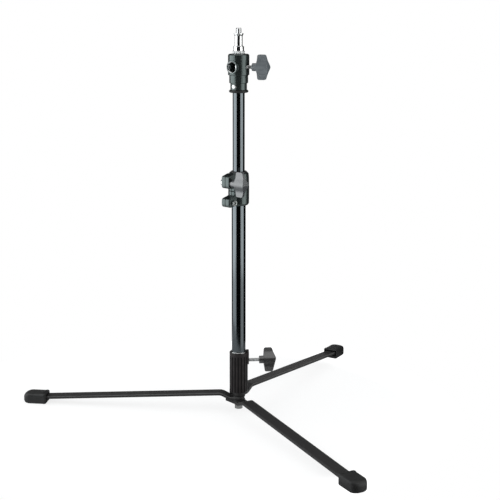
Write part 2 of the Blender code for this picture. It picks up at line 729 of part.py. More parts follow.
def wing_knob(name, place):
    """A wing knob about local Z: a hub, and a wing that thins towards its tips."""
    reach = KNOB_SPAN / 2
    end = KNOB_WING_START + KNOB_WING_DEPTH
    ridge = end + KNOB_RIDGE
    stations = [reach * (step / 12 - 1) for step in range(25)]
    right = [(knob_half_width(y), y) for y in stations]
    lens = right + [(-x, y) for x, y in reversed(right)]
    wing = plate_mesh(name, lens, ridge - 0.004 + 0.002)
    wing.transform(Matrix.Translation((0, 0, (ridge + 0.004 + 0.002) / 2)))
    part = add_part(name, wing, KNOB_PLASTIC)
    side = rounded_outline(
        [
            (KNOB_WING_START, -reach, 0.003),
            (end, -reach, 0.003),
            (ridge, 0, 0.006),
            (end, reach, 0.003),
            (KNOB_WING_START, reach, 0.003),
            (KNOB_WING_START - 0.0012, 0.008, 0.002),
            (KNOB_WING_START - 0.0012, -0.008, 0.002),
        ],
        steps=3,
    )
    profile = plate_mesh(name + "_side", side, 3 * KNOB_HUB_RADIUS)
    profile.transform(Matrix(((0, 0, 1, 0), (0, 1, 0, 0), (1, 0, 0, 0), (0, 0, 0, 1))))
    profile.flip_normals()
    part.matrix_basis = place
    combine(part, profile, "INTERSECT")
    round_edges(part, KNOB_EDGE_RADIUS, angle=40)
    finish(part)
    hub = rod_mesh(
        name + "_hub",
        KNOB_HUB_RADIUS - 0.0006,
        (0, 0, 0),
        (0, 0, end),
        SMALL_STEPS,
        KNOB_HUB_RADIUS - 0.0001,
    )
    combine(part, hub, "UNION")
    hole = rod_mesh(
        name + "_hole",
        SCREW_RADIUS + SEAT_GAP,
        (0, 0, -0.001),
        (0, 0, KNOB_SCREW_HOLD + SEAT_GAP),
        SMALL_STEPS,
    )
    combine(part, hole, "DIFFERENCE")
    return finish(part)


def rod_part(name, radius, length, place, material, tip=0.0006):
    """A screw or pad: a cylinder with a chamfered tip at its start."""
    profile = [
        (0, length),
        (radius, length),
        (radius, tip),
        (radius - tip, 0),
        (0, 0),
    ]
    part = add_part(name, turned_mesh(name, profile, SMALL_STEPS), material)
    part.matrix_basis = place
    return finish(part)


def locking_screw(prefix, angle, height, tip_radius, pad_length, knob_radius, turn=0):
    """A pressure pad, the screw behind it and the wing knob on the screw."""
    pad_radius = tip_radius + SEAT_GAP
    screw_start = pad_radius + pad_length + SEAT_GAP
    rod_part(prefix + "_pad", SCREW_RADIUS, pad_length, out_from_column(angle, pad_radius, height), BRASS)
    screw_length = knob_radius + KNOB_SCREW_HOLD - screw_start
    rod_part(
        prefix + "_screw", SCREW_RADIUS, screw_length, out_from_column(angle, screw_start, height), ZINC
    )
    wing_knob(prefix + "_knob", out_from_column(angle, knob_radius, height, turn))


def tube_part(name, outer, wall, bottom, top, material):
    return ring_part(name, outer, outer - wall, bottom, top, material)


def lower_tube():
    """The column's outer tube and the plug in its foot."""
    radius = LOWER_TUBE_DIAMETER / 2
    tube_part("lower_tube", radius, LOWER_TUBE_WALL, LOWER_TUBE_BOTTOM, LOWER_TUBE_TOP, BLACK_ANODISED)
    neck = radius - LOWER_TUBE_WALL - SEAT_GAP
    profile = [
        (0, LOWER_TUBE_BOTTOM + PLUG_DEPTH),
        (neck - 0.001, LOWER_TUBE_BOTTOM + PLUG_DEPTH),
        (neck, LOWER_TUBE_BOTTOM + PLUG_DEPTH - 0.001),
        (neck, PLUG_BOTTOM + PLUG_FLANGE),
        (radius, PLUG_BOTTOM + PLUG_FLANGE),
        (radius, PLUG_BOTTOM + 0.0008),
        (radius - 0.0008, PLUG_BOTTOM),
        (0, PLUG_BOTTOM),
    ]
    finish(add_part("lower_tube_plug", turned_mesh("lower_tube_plug", profile), NYLON))


def screw_holes(name, height, reach):
    """Cross holes through the head and the tube for the two fixing screws."""
    hole = rod_mesh(
        name, HEAD_SCREW_DIAMETER / 2 + SEAT_GAP, (0, 0, -reach), (0, 0, reach), 16
    )
    hole.transform(Matrix.Translation((0, 0, height)) @ facing(HEAD_SCREW_ANGLE))
    return hole


def upper_tube():
    """The sliding tube and the guide foot at its lower end."""
    radius = UPPER_TUBE_RADIUS
    profile = [
        (radius - UPPER_TUBE_WALL, UPPER_TUBE_TOP),
        (radius, UPPER_TUBE_TOP),
        (radius, UPPER_TUBE_BOTTOM),
        (radius - UPPER_TUBE_WALL, UPPER_TUBE_BOTTOM),
    ]
    tube = add_part("upper_tube", turned_mesh("upper_tube", profile, closed=True), BLACK_ANODISED)
    combine(tube, screw_holes("tube_screw_holes", HEAD_SCREW_HEIGHT, HEAD_RADIUS), "DIFFERENCE")
    finish(tube)
    neck = radius - UPPER_TUBE_WALL - SEAT_GAP
    neck_top = UPPER_TUBE_BOTTOM + PLUG_DEPTH
    foot_top = TUBE_FOOT_BOTTOM + TUBE_FOOT_HEIGHT
    foot = [
        (0, neck_top),
        (neck - 0.001, neck_top),
        (neck, neck_top - 0.001),
        (neck, foot_top),
        (radius, foot_top),
        (radius, TUBE_FOOT_BOTTOM + 0.001),
        (radius - 0.001, TUBE_FOOT_BOTTOM),
        (0, TUBE_FOOT_BOTTOM),
    ]
    finish(add_part("upper_tube_foot", turned_mesh("upper_tube_foot", foot), NYLON))


def ear_block(name, outline):
    """A pair of ears as one block, which the slit then parts."""
    return upright(plate_mesh(name, outline, 2 * EAR_FACE))


def upper_ear_outline():
    root = COLLAR_BORE + 0.001
    return rounded_outline(
        [
            (root, UPPER_EAR_BOTTOM, 0),
            (EAR_REACH, UPPER_EAR_BOTTOM, 0.005),
            (EAR_REACH, UPPER_EAR_TOP, 0.004),
            (root + 0.0065, COLLAR_TOP - 0.001, 0.003),
            (root, COLLAR_TOP - 0.001, 0),
        ]
    )


def lower_ear_outline():
    root = COLLAR_BORE + 0.001
    return rounded_outline(
        [
            (root, LOWER_EAR_BOTTOM + 0.003, 0),
            (EAR_REACH, LOWER_EAR_BOTTOM, 0.005),
            (EAR_REACH, LOWER_EAR_TOP, 0.004),
            (root + 0.006, LOWER_EAR_TOP + 0.003, 0.003),
            (root, LOWER_EAR_TOP + 0.007, 0),
        ]
    )


def clamp_collar():
    """The cast collar: its lower ears hold it on the lower tube, its upper ears grip the upper tube."""
    radius = COLLAR_RADIUS
    shoulder = [
        (radius - 0.0025, COLLAR_TOP),
        (radius - 0.0008, COLLAR_TOP - 0.002),
        (radius - 0.0002, COLLAR_TOP - COLLAR_SHOULDER),
        (radius + 0.0002, COLLAR_TOP - COLLAR_HEIGHT / 2),
        (radius, COLLAR_BOTTOM + 0.0035),
        (radius - 0.0012, COLLAR_BOTTOM + 0.0012),
        (radius - 0.003, COLLAR_BOTTOM),
    ]
    profile = [(COLLAR_BORE, COLLAR_TOP), *shoulder, (COLLAR_BORE, COLLAR_BOTTOM)]
    part = add_part("clamp_collar", turned_mesh("clamp_collar", profile, closed=True), CAST_BLACK)
    part.rotation_euler = Euler((0, 0, CLAMP_ANGLE))
    for name, outline in (("upper_ears", upper_ear_outline()), ("lower_ears", lower_ear_outline())):
        ears = add_cutter(name, ear_block(name, outline))
        ears.rotation_euler = part.rotation_euler
        round_edges(ears, 0.0012, segments=1)
        union = part.modifiers.new(name, "BOOLEAN")
        union.operation = "UNION"
        union.object = ears
    slit = box_mesh(
        "collar_slit",
        (COLLAR_BORE - 0.003, -CLAMP_SLIT / 2, LOWER_EAR_BOTTOM - 0.01),
        (EAR_REACH + 0.01, CLAMP_SLIT / 2, COLLAR_TOP + 0.01),
    )
    combine(part, slit, "DIFFERENCE")
    slot = box_mesh(
        "relief_slot",
        (COLLAR_BORE * 0.45, -2 * COLLAR_RADIUS, LOWER_TUBE_TOP - RELIEF_SLOT),
        (2 * COLLAR_RADIUS, 2 * COLLAR_RADIUS, LOWER_TUBE_TOP),
    )
    combine(part, slot, "DIFFERENCE")
    holes = joined_mesh(
        "ear_holes",
        [
            ear_rod("upper_hole", SCREW_RADIUS + SEAT_GAP, UPPER_BOLT, -2 * EAR_FACE, 2 * EAR_FACE),
            ear_rod(
                "lower_hole", FIXING_SCREW_DIAMETER / 2 + SEAT_GAP, LOWER_BOLT, -2 * EAR_FACE, 2 * EAR_FACE
            ),
        ],
    )
    combine(part, holes, "DIFFERENCE")
    return finish(part)


def ear_rod(name, radius, where, start, end, steps=SMALL_STEPS):
    """A cylinder across the ears, at (distance, height) in the collar's frame."""
    out, height = where
    return rod_mesh(name, radius, (out, start, height), (out, end, height), steps)


def collar_bush():
    """The split plastic bush between the collar and the upper tube."""
    outer = COLLAR_BORE - SEAT_GAP
    inner = UPPER_TUBE_RADIUS + SEAT_GAP
    bottom = LOWER_TUBE_TOP + SEAT_GAP
    flange_bottom = COLLAR_TOP + SEAT_GAP
    profile = [
        (inner, flange_bottom + BUSH_FLANGE_THICKNESS),
        (outer + 0.0012, flange_bottom + BUSH_FLANGE_THICKNESS),
        (outer + 0.0016, flange_bottom),
        (outer, flange_bottom),
        (outer, bottom),
        (inner, bottom),
    ]
    part = add_part("collar_bush", turned_mesh("collar_bush", profile, closed=True), NYLON)
    part.rotation_euler = Euler((0, 0, CLAMP_ANGLE))
    slit = box_mesh(
        "bush_slit", (0, -CLAMP_SLIT / 2, bottom - 0.001), (2 * outer, CLAMP_SLIT / 2, COLLAR_TOP + 0.01)
    )
    combine(part, slit, "DIFFERENCE")
    return finish(part)


def ear_piece(name, mesh, material):
    """A piece drawn in the collar's frame."""
    part = add_part(name, mesh, material)
    part.rotation_euler = Euler((0, 0, CLAMP_ANGLE))
    return part


def clamp_fasteners():
    """The clamp's bolt, washer and knob above, and the fixing screw and nut below."""
    washer_start = EAR_FACE + SEAT_GAP
    knob_start = washer_start + CLAMP_WASHER_THICKNESS + SEAT_GAP
    back_face = -EAR_FACE - SEAT_GAP
    head = ear_rod("clamp_bolt", 0.0058, UPPER_BOLT, back_face - 0.004, back_face, steps=6)
    bolt = ear_piece("clamp_bolt", head, ZINC)
    shank = ear_rod(
        "clamp_bolt_shank", SCREW_RADIUS, UPPER_BOLT, back_face - 0.002, knob_start + KNOB_SCREW_HOLD
    )
    combine(bolt, shank, "UNION")
    finish(bolt)
    cap = ear_rod("fixing_screw", 0.0043, LOWER_BOLT, back_face - 0.005, back_face)
    screw = ear_piece("fixing_screw", cap, ZINC)
    nut_start = EAR_FACE + SEAT_GAP
    shank = ear_rod(
        "fixing_screw_shank",
        FIXING_SCREW_DIAMETER / 2,
        LOWER_BOLT,
        back_face - 0.002,
        nut_start + FIXING_NUT_HEIGHT - SEAT_GAP,
    )
    combine(screw, shank, "UNION")
    finish(screw)
    nut_radius = FIXING_NUT_ACROSS_FLATS / 2 / math.cos(math.pi / 6)
    nut = ear_piece(
        "hex_nut",
        ear_rod("hex_nut", nut_radius, LOWER_BOLT, nut_start, nut_start + FIXING_NUT_HEIGHT, steps=6),
        CHROME,
    )
    combine(
        nut,
        ear_rod("nut_hole", FIXING_SCREW_DIAMETER / 2 + SEAT_GAP, LOWER_BOLT, 0, 3 * EAR_FACE),
        "DIFFERENCE",
    )
    finish(nut)
    washer = ear_piece(
        "clamp_washer",
        ear_rod(
            "clamp_washer",
            CLAMP_WASHER_DIAMETER / 2,
            UPPER_BOLT,
            washer_start,
            washer_start + CLAMP_WASHER_THICKNESS,
        ),
        ZINC,
    )
    combine(
        washer, ear_rod("washer_hole", SCREW_RADIUS + SEAT_GAP, UPPER_BOLT, 0, 3 * EAR_FACE), "DIFFERENCE"
    )
    finish(washer)
    turn = Matrix.Rotation(CLAMP_ANGLE, 4, "Z")
    place = turn @ Matrix.Translation((UPPER_BOLT[0], knob_start, UPPER_BOLT[1])) @ facing(math.pi / 2)
    wing_knob("clamp_knob", place)


def head_profile():
    """The head's section: rounded top, two steps, the spigot bore above and the tube socket below."""
    radius = HEAD_RADIUS
    step = HEAD_STEP_DIAMETER / 2
    neck = HEAD_NECK_DIAMETER / 2
    edge = HEAD_EDGE_RADIUS
    tube_bore = UPPER_TUBE_RADIUS + SEAT_GAP
    rounding = []
    for index in range(5):
        turn = math.pi / 2 * (1 - index / 4)
        rounding.append((radius - edge + edge * math.cos(turn), HEAD_TOP - edge + edge * math.sin(turn)))
    return [
        (0, SPIGOT_BORE_FLOOR),
        (SPIGOT_BORE, SPIGOT_BORE_FLOOR),
        (SPIGOT_BORE, HEAD_TOP - 0.0008),
        (SPIGOT_BORE + 0.0008, HEAD_TOP),
        *rounding,
        (radius, HEAD_STEP_TOP + 0.0008),
        (radius - 0.0008, HEAD_STEP_TOP),
        (step, HEAD_STEP_TOP),
        (step, HEAD_NECK_TOP + 0.0008),
        (step - 0.0008, HEAD_NECK_TOP),
        (neck, HEAD_NECK_TOP),
        (neck, HEAD_BOTTOM),
        (tube_bore, HEAD_BOTTOM),
        (tube_bore, UPPER_TUBE_TOP + SEAT_GAP),
        (0, UPPER_TUBE_TOP + SEAT_GAP),
    ]


def outward_rod(name, radius, angle, height, start, end, steps=ROUND_STEPS, tip_radius=None):
    """A cylinder that points out from the column."""
    mesh = rod_mesh(name, radius, (0, 0, start), (0, 0, end), steps, tip_radius)
    mesh.transform(Matrix.Translation((0, 0, height)) @ facing(angle))
    return mesh


def head_body():
    """The casting: a side bore in a round boss, and a recess for the locking knob."""
    part = add_part("head_body", turned_mesh("head_body", head_profile()), CAST_BLACK)
    height = SIDE_BORE_HEIGHT
    boss = outward_rod(
        "side_boss", SIDE_BOSS_DIAMETER / 2, SIDE_BORE_ANGLE, height, HEAD_RADIUS / 2, SIDE_BOSS_REACH
    )
    boss_part = add_cutter("side_boss", boss)
    round_edges(boss_part, 0.0007, segments=1)
    union = part.modifiers.new("side_boss", "BOOLEAN")
    union.operation = "UNION"
    union.object = boss_part
    side = outward_rod(
        "side_bore", SPIGOT_BORE, SIDE_BORE_ANGLE, height, -SIDE_BORE_BEYOND, 2 * SIDE_BOSS_REACH
    )
    combine(part, side, "DIFFERENCE")
    mouth = outward_rod(
        "side_bore_mouth",
        SPIGOT_BORE,
        SIDE_BORE_ANGLE,
        height,
        SIDE_BOSS_REACH - 0.0010,
        SIDE_BOSS_REACH + 0.0010,
        tip_radius=SPIGOT_BORE + 0.0020,
    )
    combine(part, mouth, "DIFFERENCE")
    recess = outward_rod(
        "knob_recess",
        HEAD_RECESS_DIAMETER / 2,
        HEAD_KNOB_ANGLE,
        height,
        HEAD_RECESS_FLOOR,
        2 * HEAD_RADIUS,
        32,
    )
    combine(part, recess, "DIFFERENCE")
    bore = SCREW_RADIUS + SEAT_GAP
    hole = outward_rod(
        "head_screw_hole", bore, HEAD_KNOB_ANGLE, height, 0.001, 2 * HEAD_RADIUS, SMALL_STEPS
    )
    combine(part, hole, "DIFFERENCE")
    combine(part, screw_holes("head_screw_holes", HEAD_SCREW_HEIGHT, 2 * HEAD_RADIUS), "DIFFERENCE")
    return finish(part)


def head_ring():
    """The soft ring under the head, which meets the collar when the column is closed."""
    outer = HEAD_RING_DIAMETER / 2
    inner = UPPER_TUBE_RADIUS + SEAT_GAP
    top = HEAD_BOTTOM - SEAT_GAP
    half = HEAD_RING_HEIGHT / 2
    middle = top - half
    swell = []
    for index in range(7):
        turn = math.pi / 2 * (1 - index / 3)
        swell.append((outer - half + half * math.cos(turn), middle + half * math.sin(turn)))
    profile = [(inner, top), *swell, (inner, top - HEAD_RING_HEIGHT)]
    return finish(add_part("head_ring", turned_mesh("head_ring", profile, closed=True), RUBBER))


def head_screws():
    """The two button-head screws that hold the casting on the upper tube."""
    seat = HEAD_NECK_DIAMETER / 2 + SEAT_GAP
    cap = HEAD_SCREW_CAP_DIAMETER / 2
    shank = HEAD_SCREW_DIAMETER / 2
    inside = UPPER_TUBE_RADIUS - UPPER_TUBE_WALL - 0.001
    profile = [
        (0, seat + HEAD_SCREW_CAP_HEIGHT),
        (cap * 0.55, seat + HEAD_SCREW_CAP_HEIGHT * 0.92),
        (cap * 0.86, seat + HEAD_SCREW_CAP_HEIGHT * 0.6),
        (cap, seat),
        (shank, seat),
        (shank, inside),
        (0, inside),
    ]
    opposite = HEAD_SCREW_ANGLE + math.pi
    for name, angle in (("head_screw_left", HEAD_SCREW_ANGLE), ("head_screw_right", opposite)):
        part = add_part(name, turned_mesh(name, profile, 16), CHROME)
        part.matrix_basis = Matrix.Translation((0, 0, HEAD_SCREW_HEIGHT)) @ facing(angle)
        finish(part)


def spigot():
    """The chrome spigot and its knurled collar ring."""
    ring_bottom = HEAD_TOP + SEAT_GAP
    ring_top = ring_bottom + COLLAR_RING_HEIGHT
    shank = SPIGOT_DIAMETER / 2
    ring_part(
        "spigot_collar",
        COLLAR_RING_DIAMETER / 2,
        shank + SEAT_GAP,
        ring_bottom,
        ring_top,
        CHROME,
        ROUND_STEPS,
        0.0005,
    )
    shoulder = SPIGOT_SHOULDER_DIAMETER / 2
    neck = SPIGOT_NECK_DIAMETER / 2
    thread = SPIGOT_THREAD_DIAMETER / 2
    seat = ring_top + SEAT_GAP
    neck_bottom = seat + SPIGOT_SHOULDER_HEIGHT
    neck_top = neck_bottom + SPIGOT_NECK_HEIGHT
    disc_top = neck_top + SPIGOT_DISC_THICKNESS
    thread_top = disc_top + SPIGOT_THREAD_LENGTH
    bottom = HEAD_TOP - SPIGOT_DEPTH
    profile = [
        (0, thread_top),
        (thread - 0.0008, thread_top),
        (thread, thread_top - 0.0008),
        (thread, disc_top),
        (shank, disc_top),
        (shank, neck_top),
        (neck + 0.0003, neck_top - 0.0022),
        (neck, neck_top - 0.003),
        (neck, neck_bottom + 0.001),
        (neck + 0.0008, neck_bottom),
        (shoulder - 0.0004, neck_bottom),
        (shoulder, neck_bottom - 0.0004),
        (shoulder, seat),
        (shank, seat),
        (shank, bottom + 0.001),
        (shank - 0.001, bottom),
        (0, bottom),
    ]
    finish(add_part("spigot", turned_mesh("spigot", profile), CHROME))


def stand_over_its_feet():
    """Moves the stand so that the middle of its footprint is the origin."""
    bpy.context.view_layer.update()
    xs = []
    for part in PARTS.objects:
        if part.type == "MESH":
            xs += [(part.matrix_world @ vertex.co).x for vertex in part.data.vertices]
    STAND.location.x = -(min(xs) + max(xs)) / 2


def build():
    hub_bolt()
    hub_stack()
    front_leg()
    folding_leg("left_leg", LEFT_LEG_BOTTOM, LEFT_LEG_ANGLE)
    folding_leg("right_leg", RIGHT_LEG_BOTTOM, RIGHT_LEG_ANGLE)
    rubber_foot("front_foot", FRONT_LEG_BOTTOM, FRONT_LEG_ANGLE)
    rubber_foot("left_foot", LEFT_LEG_BOTTOM, LEFT_LEG_ANGLE)
    rubber_foot("right_foot", RIGHT_LEG_BOTTOM, RIGHT_LEG_ANGLE)
    base_socket()
    lower_tube()
    locking_screw(
        "socket",
        SOCKET_KNOB_ANGLE,
        SOCKET_TOP - SOCKET_SCREW_DROP,
        LOWER_TUBE_DIAMETER / 2,
        0.0022,
        LUG_FACE + SOCKET_SCREW_OUT,
        SOCKET_KNOB_TURN,
    )
    upper_tube()
    clamp_collar()
    collar_bush()
    clamp_fasteners()
    head_body()
    head_ring()
    head_screws()
    locking_screw(
        "head", HEAD_KNOB_ANGLE, SIDE_BORE_HEIGHT, SPIGOT_DIAMETER / 2, 0.0024, HEAD_KNOB_OUT
    )
    spigot()
    stand_over_its_feet()


build()
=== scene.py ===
import json
import math
import bmesh
import bpy
from mathutils import Matrix, Vector


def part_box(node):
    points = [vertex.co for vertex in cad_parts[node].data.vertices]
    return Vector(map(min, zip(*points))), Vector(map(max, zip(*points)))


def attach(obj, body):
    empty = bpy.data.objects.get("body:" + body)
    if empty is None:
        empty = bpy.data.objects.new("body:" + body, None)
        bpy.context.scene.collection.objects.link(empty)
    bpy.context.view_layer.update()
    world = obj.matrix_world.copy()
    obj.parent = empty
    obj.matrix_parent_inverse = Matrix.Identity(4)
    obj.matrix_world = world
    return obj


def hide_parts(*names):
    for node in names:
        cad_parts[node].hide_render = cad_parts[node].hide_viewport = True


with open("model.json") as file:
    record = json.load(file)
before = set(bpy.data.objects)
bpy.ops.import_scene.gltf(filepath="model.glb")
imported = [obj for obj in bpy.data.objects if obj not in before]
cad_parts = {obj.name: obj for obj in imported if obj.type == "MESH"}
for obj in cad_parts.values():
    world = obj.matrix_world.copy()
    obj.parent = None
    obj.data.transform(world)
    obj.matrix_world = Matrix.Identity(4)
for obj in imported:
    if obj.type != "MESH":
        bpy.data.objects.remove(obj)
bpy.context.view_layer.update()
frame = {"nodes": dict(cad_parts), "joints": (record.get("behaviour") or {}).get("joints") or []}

joints = {joint["name"]: joint for joint in frame["joints"]}
nodes = frame["nodes"]
tubeLow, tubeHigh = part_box("lower_tube")
columnAxis = Vector(((tubeLow.x + tubeHigh.x) / 2, (tubeLow.y + tubeHigh.y) / 2, 0))
levelPart = Vector((1, 1, 0))  # times a place, it leaves out the height
seatGap = 0.0003  # between pieces that slide or rest on each other, as in the solids
print("frame loaded:", len(nodes), "nodes")


class Signal:
    # an output socket; sums on it add Math nodes
    def __init__(self, sheet, socket):
        self.sheet = sheet
        self.socket = socket

    def __add__(self, other):
        return self.sheet.maths("ADD", self, other)

    def __radd__(self, other):
        return self.sheet.maths("ADD", other, self)

    def __sub__(self, other):
        return self.sheet.maths("SUBTRACT", self, other)

    def __rsub__(self, other):
        return self.sheet.maths("SUBTRACT", other, self)

    def __mul__(self, other):
        return self.sheet.maths("MULTIPLY", self, other)

    def __rmul__(self, other):
        return self.sheet.maths("MULTIPLY", other, self)

    def __truediv__(self, other):
        return self.sheet.maths("DIVIDE", self, other)

    def __rtruediv__(self, other):
        return self.sheet.maths("DIVIDE", other, self)


class NodeSheet:
    # a material's, world's or modifier's node tree, emptied first
    def __init__(self, tree):
        self.tree = tree
        tree.nodes.clear()

    def node(self, kind, settings=None, inputs=None, output=0):
        made = self.tree.nodes.new(kind)
        for key, value in (settings or {}).items():
            setattr(made, key, value)
        for key, value in (inputs or {}).items():
            self.feed(made.inputs[key], value)
        return Signal(self, made.outputs[output]) if made.outputs else made

    def feed(self, socket, value):
        if isinstance(value, Signal):
            self.tree.links.new(value.socket, socket)
        else:
            socket.default_value = value

    def maths(self, operation, *values):
        return self.node("ShaderNodeMath", {"operation": operation}, dict(enumerate(values)))

    def vectors(self, operation, *values, output="Vector"):
        return self.node("ShaderNodeVectorMath", {"operation": operation}, dict(enumerate(values)), output)

    def coordinate(self, vector, axis):
        return self.node("ShaderNodeSeparateXYZ", None, {0: vector}, axis)

    def between(self, value, low, high, start=0.0, end=1.0):
        # value rescaled from low..high to start..end, smoothly and clamped
        return self.node(
            "ShaderNodeMapRange",
            {"interpolation_type": "SMOOTHSTEP"},
            {"Value": value, "From Min": low, "From Max": high, "To Min": start, "To Max": end},
        )

    def blendColours(self, share, first, second):
        settings = {"data_type": "RGBA", "clamp_factor": True}
        return self.node("ShaderNodeMix", settings, {0: share, 6: first, 7: second}, 2)


class Finish(NodeSheet):
    # a material with one Principled shader, patterned in Object coordinates
    def __init__(self, name, **constants):
        self.material = bpy.data.materials.new(name)
        self.material.use_nodes = True
        super().__init__(self.material.node_tree)
        self.shader = self.tree.nodes.new("ShaderNodeBsdfPrincipled")
        self.node("ShaderNodeOutputMaterial", None, {"Surface": Signal(self, self.shader.outputs[0])})
        for key, value in constants.items():
            self.shader.inputs[key.replace("_", " ")].default_value = value
        self.place = self.node("ShaderNodeTexCoord", output="Object")

    def set(self, socket, value):
        self.feed(self.shader.inputs[socket], value)

    def noise(self, scale, detail, vector=None):
        settings = {"normalize": True}
        inputs = {"Vector": vector or self.place, "Scale": scale, "Detail": detail}
        return self.node("ShaderNodeTexNoise", settings, inputs)

    def bump(self, height, distance, strength):
        inputs = {"Height": height, "Distance": distance, "Strength": strength}
        self.set("Normal", self.node("ShaderNodeBump", None, inputs))

    def mottle(self, looks):
        # grain and cloud each have a scale, a detail and how far the roughness swings with them;
        # the bump has a height and a strength
        grainScale, grainDetail, grainSwing = looks["grain"]
        cloudScale, cloudDetail, cloudSwing = looks["cloud"]
        grain = self.noise(grainScale, grainDetail)
        cloud = self.noise(cloudScale, cloudDetail)
        self.bump(grain, *looks["bump"])
        roughness = looks["roughness"] + grainSwing * (grain - 0.5)
        if cloudSwing:
            roughness = roughness + cloudSwing * (cloud - 0.5)
        return cloud, roughness

    def fromColumn(self):
        # the place, level with the floor and measured from the column's axis
        return self.vectors("MULTIPLY", self.vectors("SUBTRACT", self.place, columnAxis), levelPart)


def grey(level, red=1.0, green=1.0, blue=1.0):
    return (level * red, level * green, level * blue, 1.0)


def darker(tone, share):
    return tuple(share * part for part in tone[:3]) + (1.0,)


tubeLooks = {
    "tone": (0.128, 0.143, 0.152, 1.0),
    "streakTone": (0.112, 0.126, 0.135, 1.0),
    "lineWidth": 0.0006,
    "lineLength": 0.06,
    "cloud": 38.0,
    "roughness": 0.09,
    "lineSwing": 0.03,
    "cloudSwing": 0.02,
    "bump": (0.00002, 0.05),
}


def anodisedTube():
    # black anodised aluminium: drawn lines run along the tube
    looks = tubeLooks
    finish = Finish("tubeBlack", Metallic=1.0)
    stretch = (looks["lineWidth"], looks["lineWidth"], looks["lineLength"])
    drawn = finish.node(
        "ShaderNodeMapping", {"vector_type": "TEXTURE"}, {"Vector": finish.place, "Scale": stretch}
    )
    lines = finish.noise(1.0, 3.0, drawn)
    cloud = finish.noise(looks["cloud"], 3.0)
    finish.set("Base Color", finish.blendColours(lines, looks["streakTone"], looks["tone"]))
    finish.set("Roughness", looks["roughness"] + looks["lineSwing"] * lines + looks["cloudSwing"] * cloud)
    finish.bump(lines, *looks["bump"])
    return finish.material


castLooks = {
    "tone": grey(0.018, 0.86, 1.06, 1.04),
    "lowTone": grey(0.011, 0.86, 1.06, 1.04),
    "shine": 1.0,
    "sheen": (0.84, 1.0, 0.98, 1.0),
    "roughness": 0.27,
    "grain": (900.0, 2.0, 0.08),
    "cloud": (60.0, 3.0, 0.08),
    "bump": (0.00004, 0.18),
}
sideBore = {
    "drop": 0.021,  # below the top of the casting
    "angle": -128,
    "bareRadius": 0.0094,
    "bareEdge": 0.00015,
    "bareStart": 0.0138,  # along the bore, from the column's axis
    "bareFull": 0.0150,
    "tone": (0.78, 0.79, 0.79, 1.0),
    "roughness": 0.24,
}


def bareBore(finish):
    # a mask over the machined mouth of the head's side bore
    bore = sideBore
    middle = columnAxis + Vector((0, 0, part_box("head_body")[1].z - bore["drop"]))
    turn = math.radians(bore["angle"])
    direction = Vector((math.cos(turn), math.sin(turn), 0))
    offset = finish.vectors("SUBTRACT", finish.place, middle)
    along = finish.vectors("DOT_PRODUCT", offset, direction, output="Value")
    across = finish.vectors("CROSS_PRODUCT", offset, direction)
    distance = finish.vectors("LENGTH", across, output="Value")
    inside = finish.between(distance, bore["bareRadius"], bore["bareRadius"] - bore["bareEdge"])
    return inside * finish.between(along, bore["bareStart"], bore["bareFull"])


def castBlack(name, bored=False):
    # satin powder coat over a die casting, and bare metal where its side bore is machined
    looks = castLooks
    finish = Finish(name, Specular_IOR_Level=looks["shine"], Specular_Tint=looks["sheen"])
    cloud, roughness = finish.mottle(looks)
    tone = finish.blendColours(cloud, looks["lowTone"], looks["tone"])
    if bored:
        bare = bareBore(finish)
        tone = finish.blendColours(bare, tone, sideBore["tone"])
        roughness = roughness + bare * (sideBore["roughness"] - looks["roughness"])
        finish.set("Metallic", bare)
    finish.set("Base Color", tone)
    finish.set("Roughness", roughness)
    return finish.material


knobLooks = {
    # tone and roughness by knob: one plastic, painted lighter or darker on each knob for how the light
    # falls on it, as painted light and shade
    "knobHead": (grey(0.135, 0.88, 1.02, 1.12), 0.30),
    "knobClamp": (grey(0.040, 0.88, 1.00, 1.14), 0.33),
    "knobSocket": (grey(0.030, 1.02, 1.00, 0.98), 0.27),
    "lowShare": 0.72,
    "shine": 1.0,
    "indexOfRefraction": 1.7,
    "grain": (2600.0, 2.0, 0.14),
    "cloud": (120.0, 2.0, 0.0),
    "bump": (0.00006, 0.55),
}


def knobPlastic(name):
    # glass filled nylon with a fine spark-eroded grain
    # each knob's tone carries painted light and shade
    tone, roughness = knobLooks[name]
    finish = Finish(name, Specular_IOR_Level=knobLooks["shine"], IOR=knobLooks["indexOfRefraction"])
    cloud, roughness = finish.mottle({**knobLooks, "roughness": roughness})
    finish.set("Base Color", finish.blendColours(cloud, darker(tone, knobLooks["lowShare"]), tone))
    finish.set("Roughness", roughness)
    return finish.material


socketLooks = {
    "tone": (0.0060, 0.0050, 0.0052, 1.0),
    "lowShare": 0.75,
    "crestHighlightTone": (0.042, 0.036, 0.036, 1.0),
    "crestStart": 0.00022,  # how far inside the outer radius the painted crest highlight begins
    "crestFull": 0.00006,
    "shine": 0.22,
    "roughness": 0.30,
    "grain": (1100.0, 2.0, 0.08),
    "cloud": (90.0, 3.0, 0.0),
    "bump": (0.00003, 0.35),
}


def socketPaint():
    # black paint on the base socket, with a painted highlight along the crests between the flutes
    looks = socketLooks
    finish = Finish("socketPaint", Specular_IOR_Level=looks["shine"])
    cloud, roughness = finish.mottle(looks)
    low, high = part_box("base_socket")
    outer = (high.y - low.y) / 2
    radius = finish.vectors("LENGTH", finish.fromColumn(), output="Value")
    # the crest mask paints a highlight on the crests, patchy with the cloud
    crest = finish.between(radius, outer - looks["crestStart"], outer - looks["crestFull"])
    tone = finish.blendColours(cloud, darker(looks["tone"], looks["lowShare"]), looks["tone"])
    finish.set("Base Color", finish.blendColours(crest * cloud, tone, looks["crestHighlightTone"]))
    finish.set("Roughness", roughness)
    return finish.material


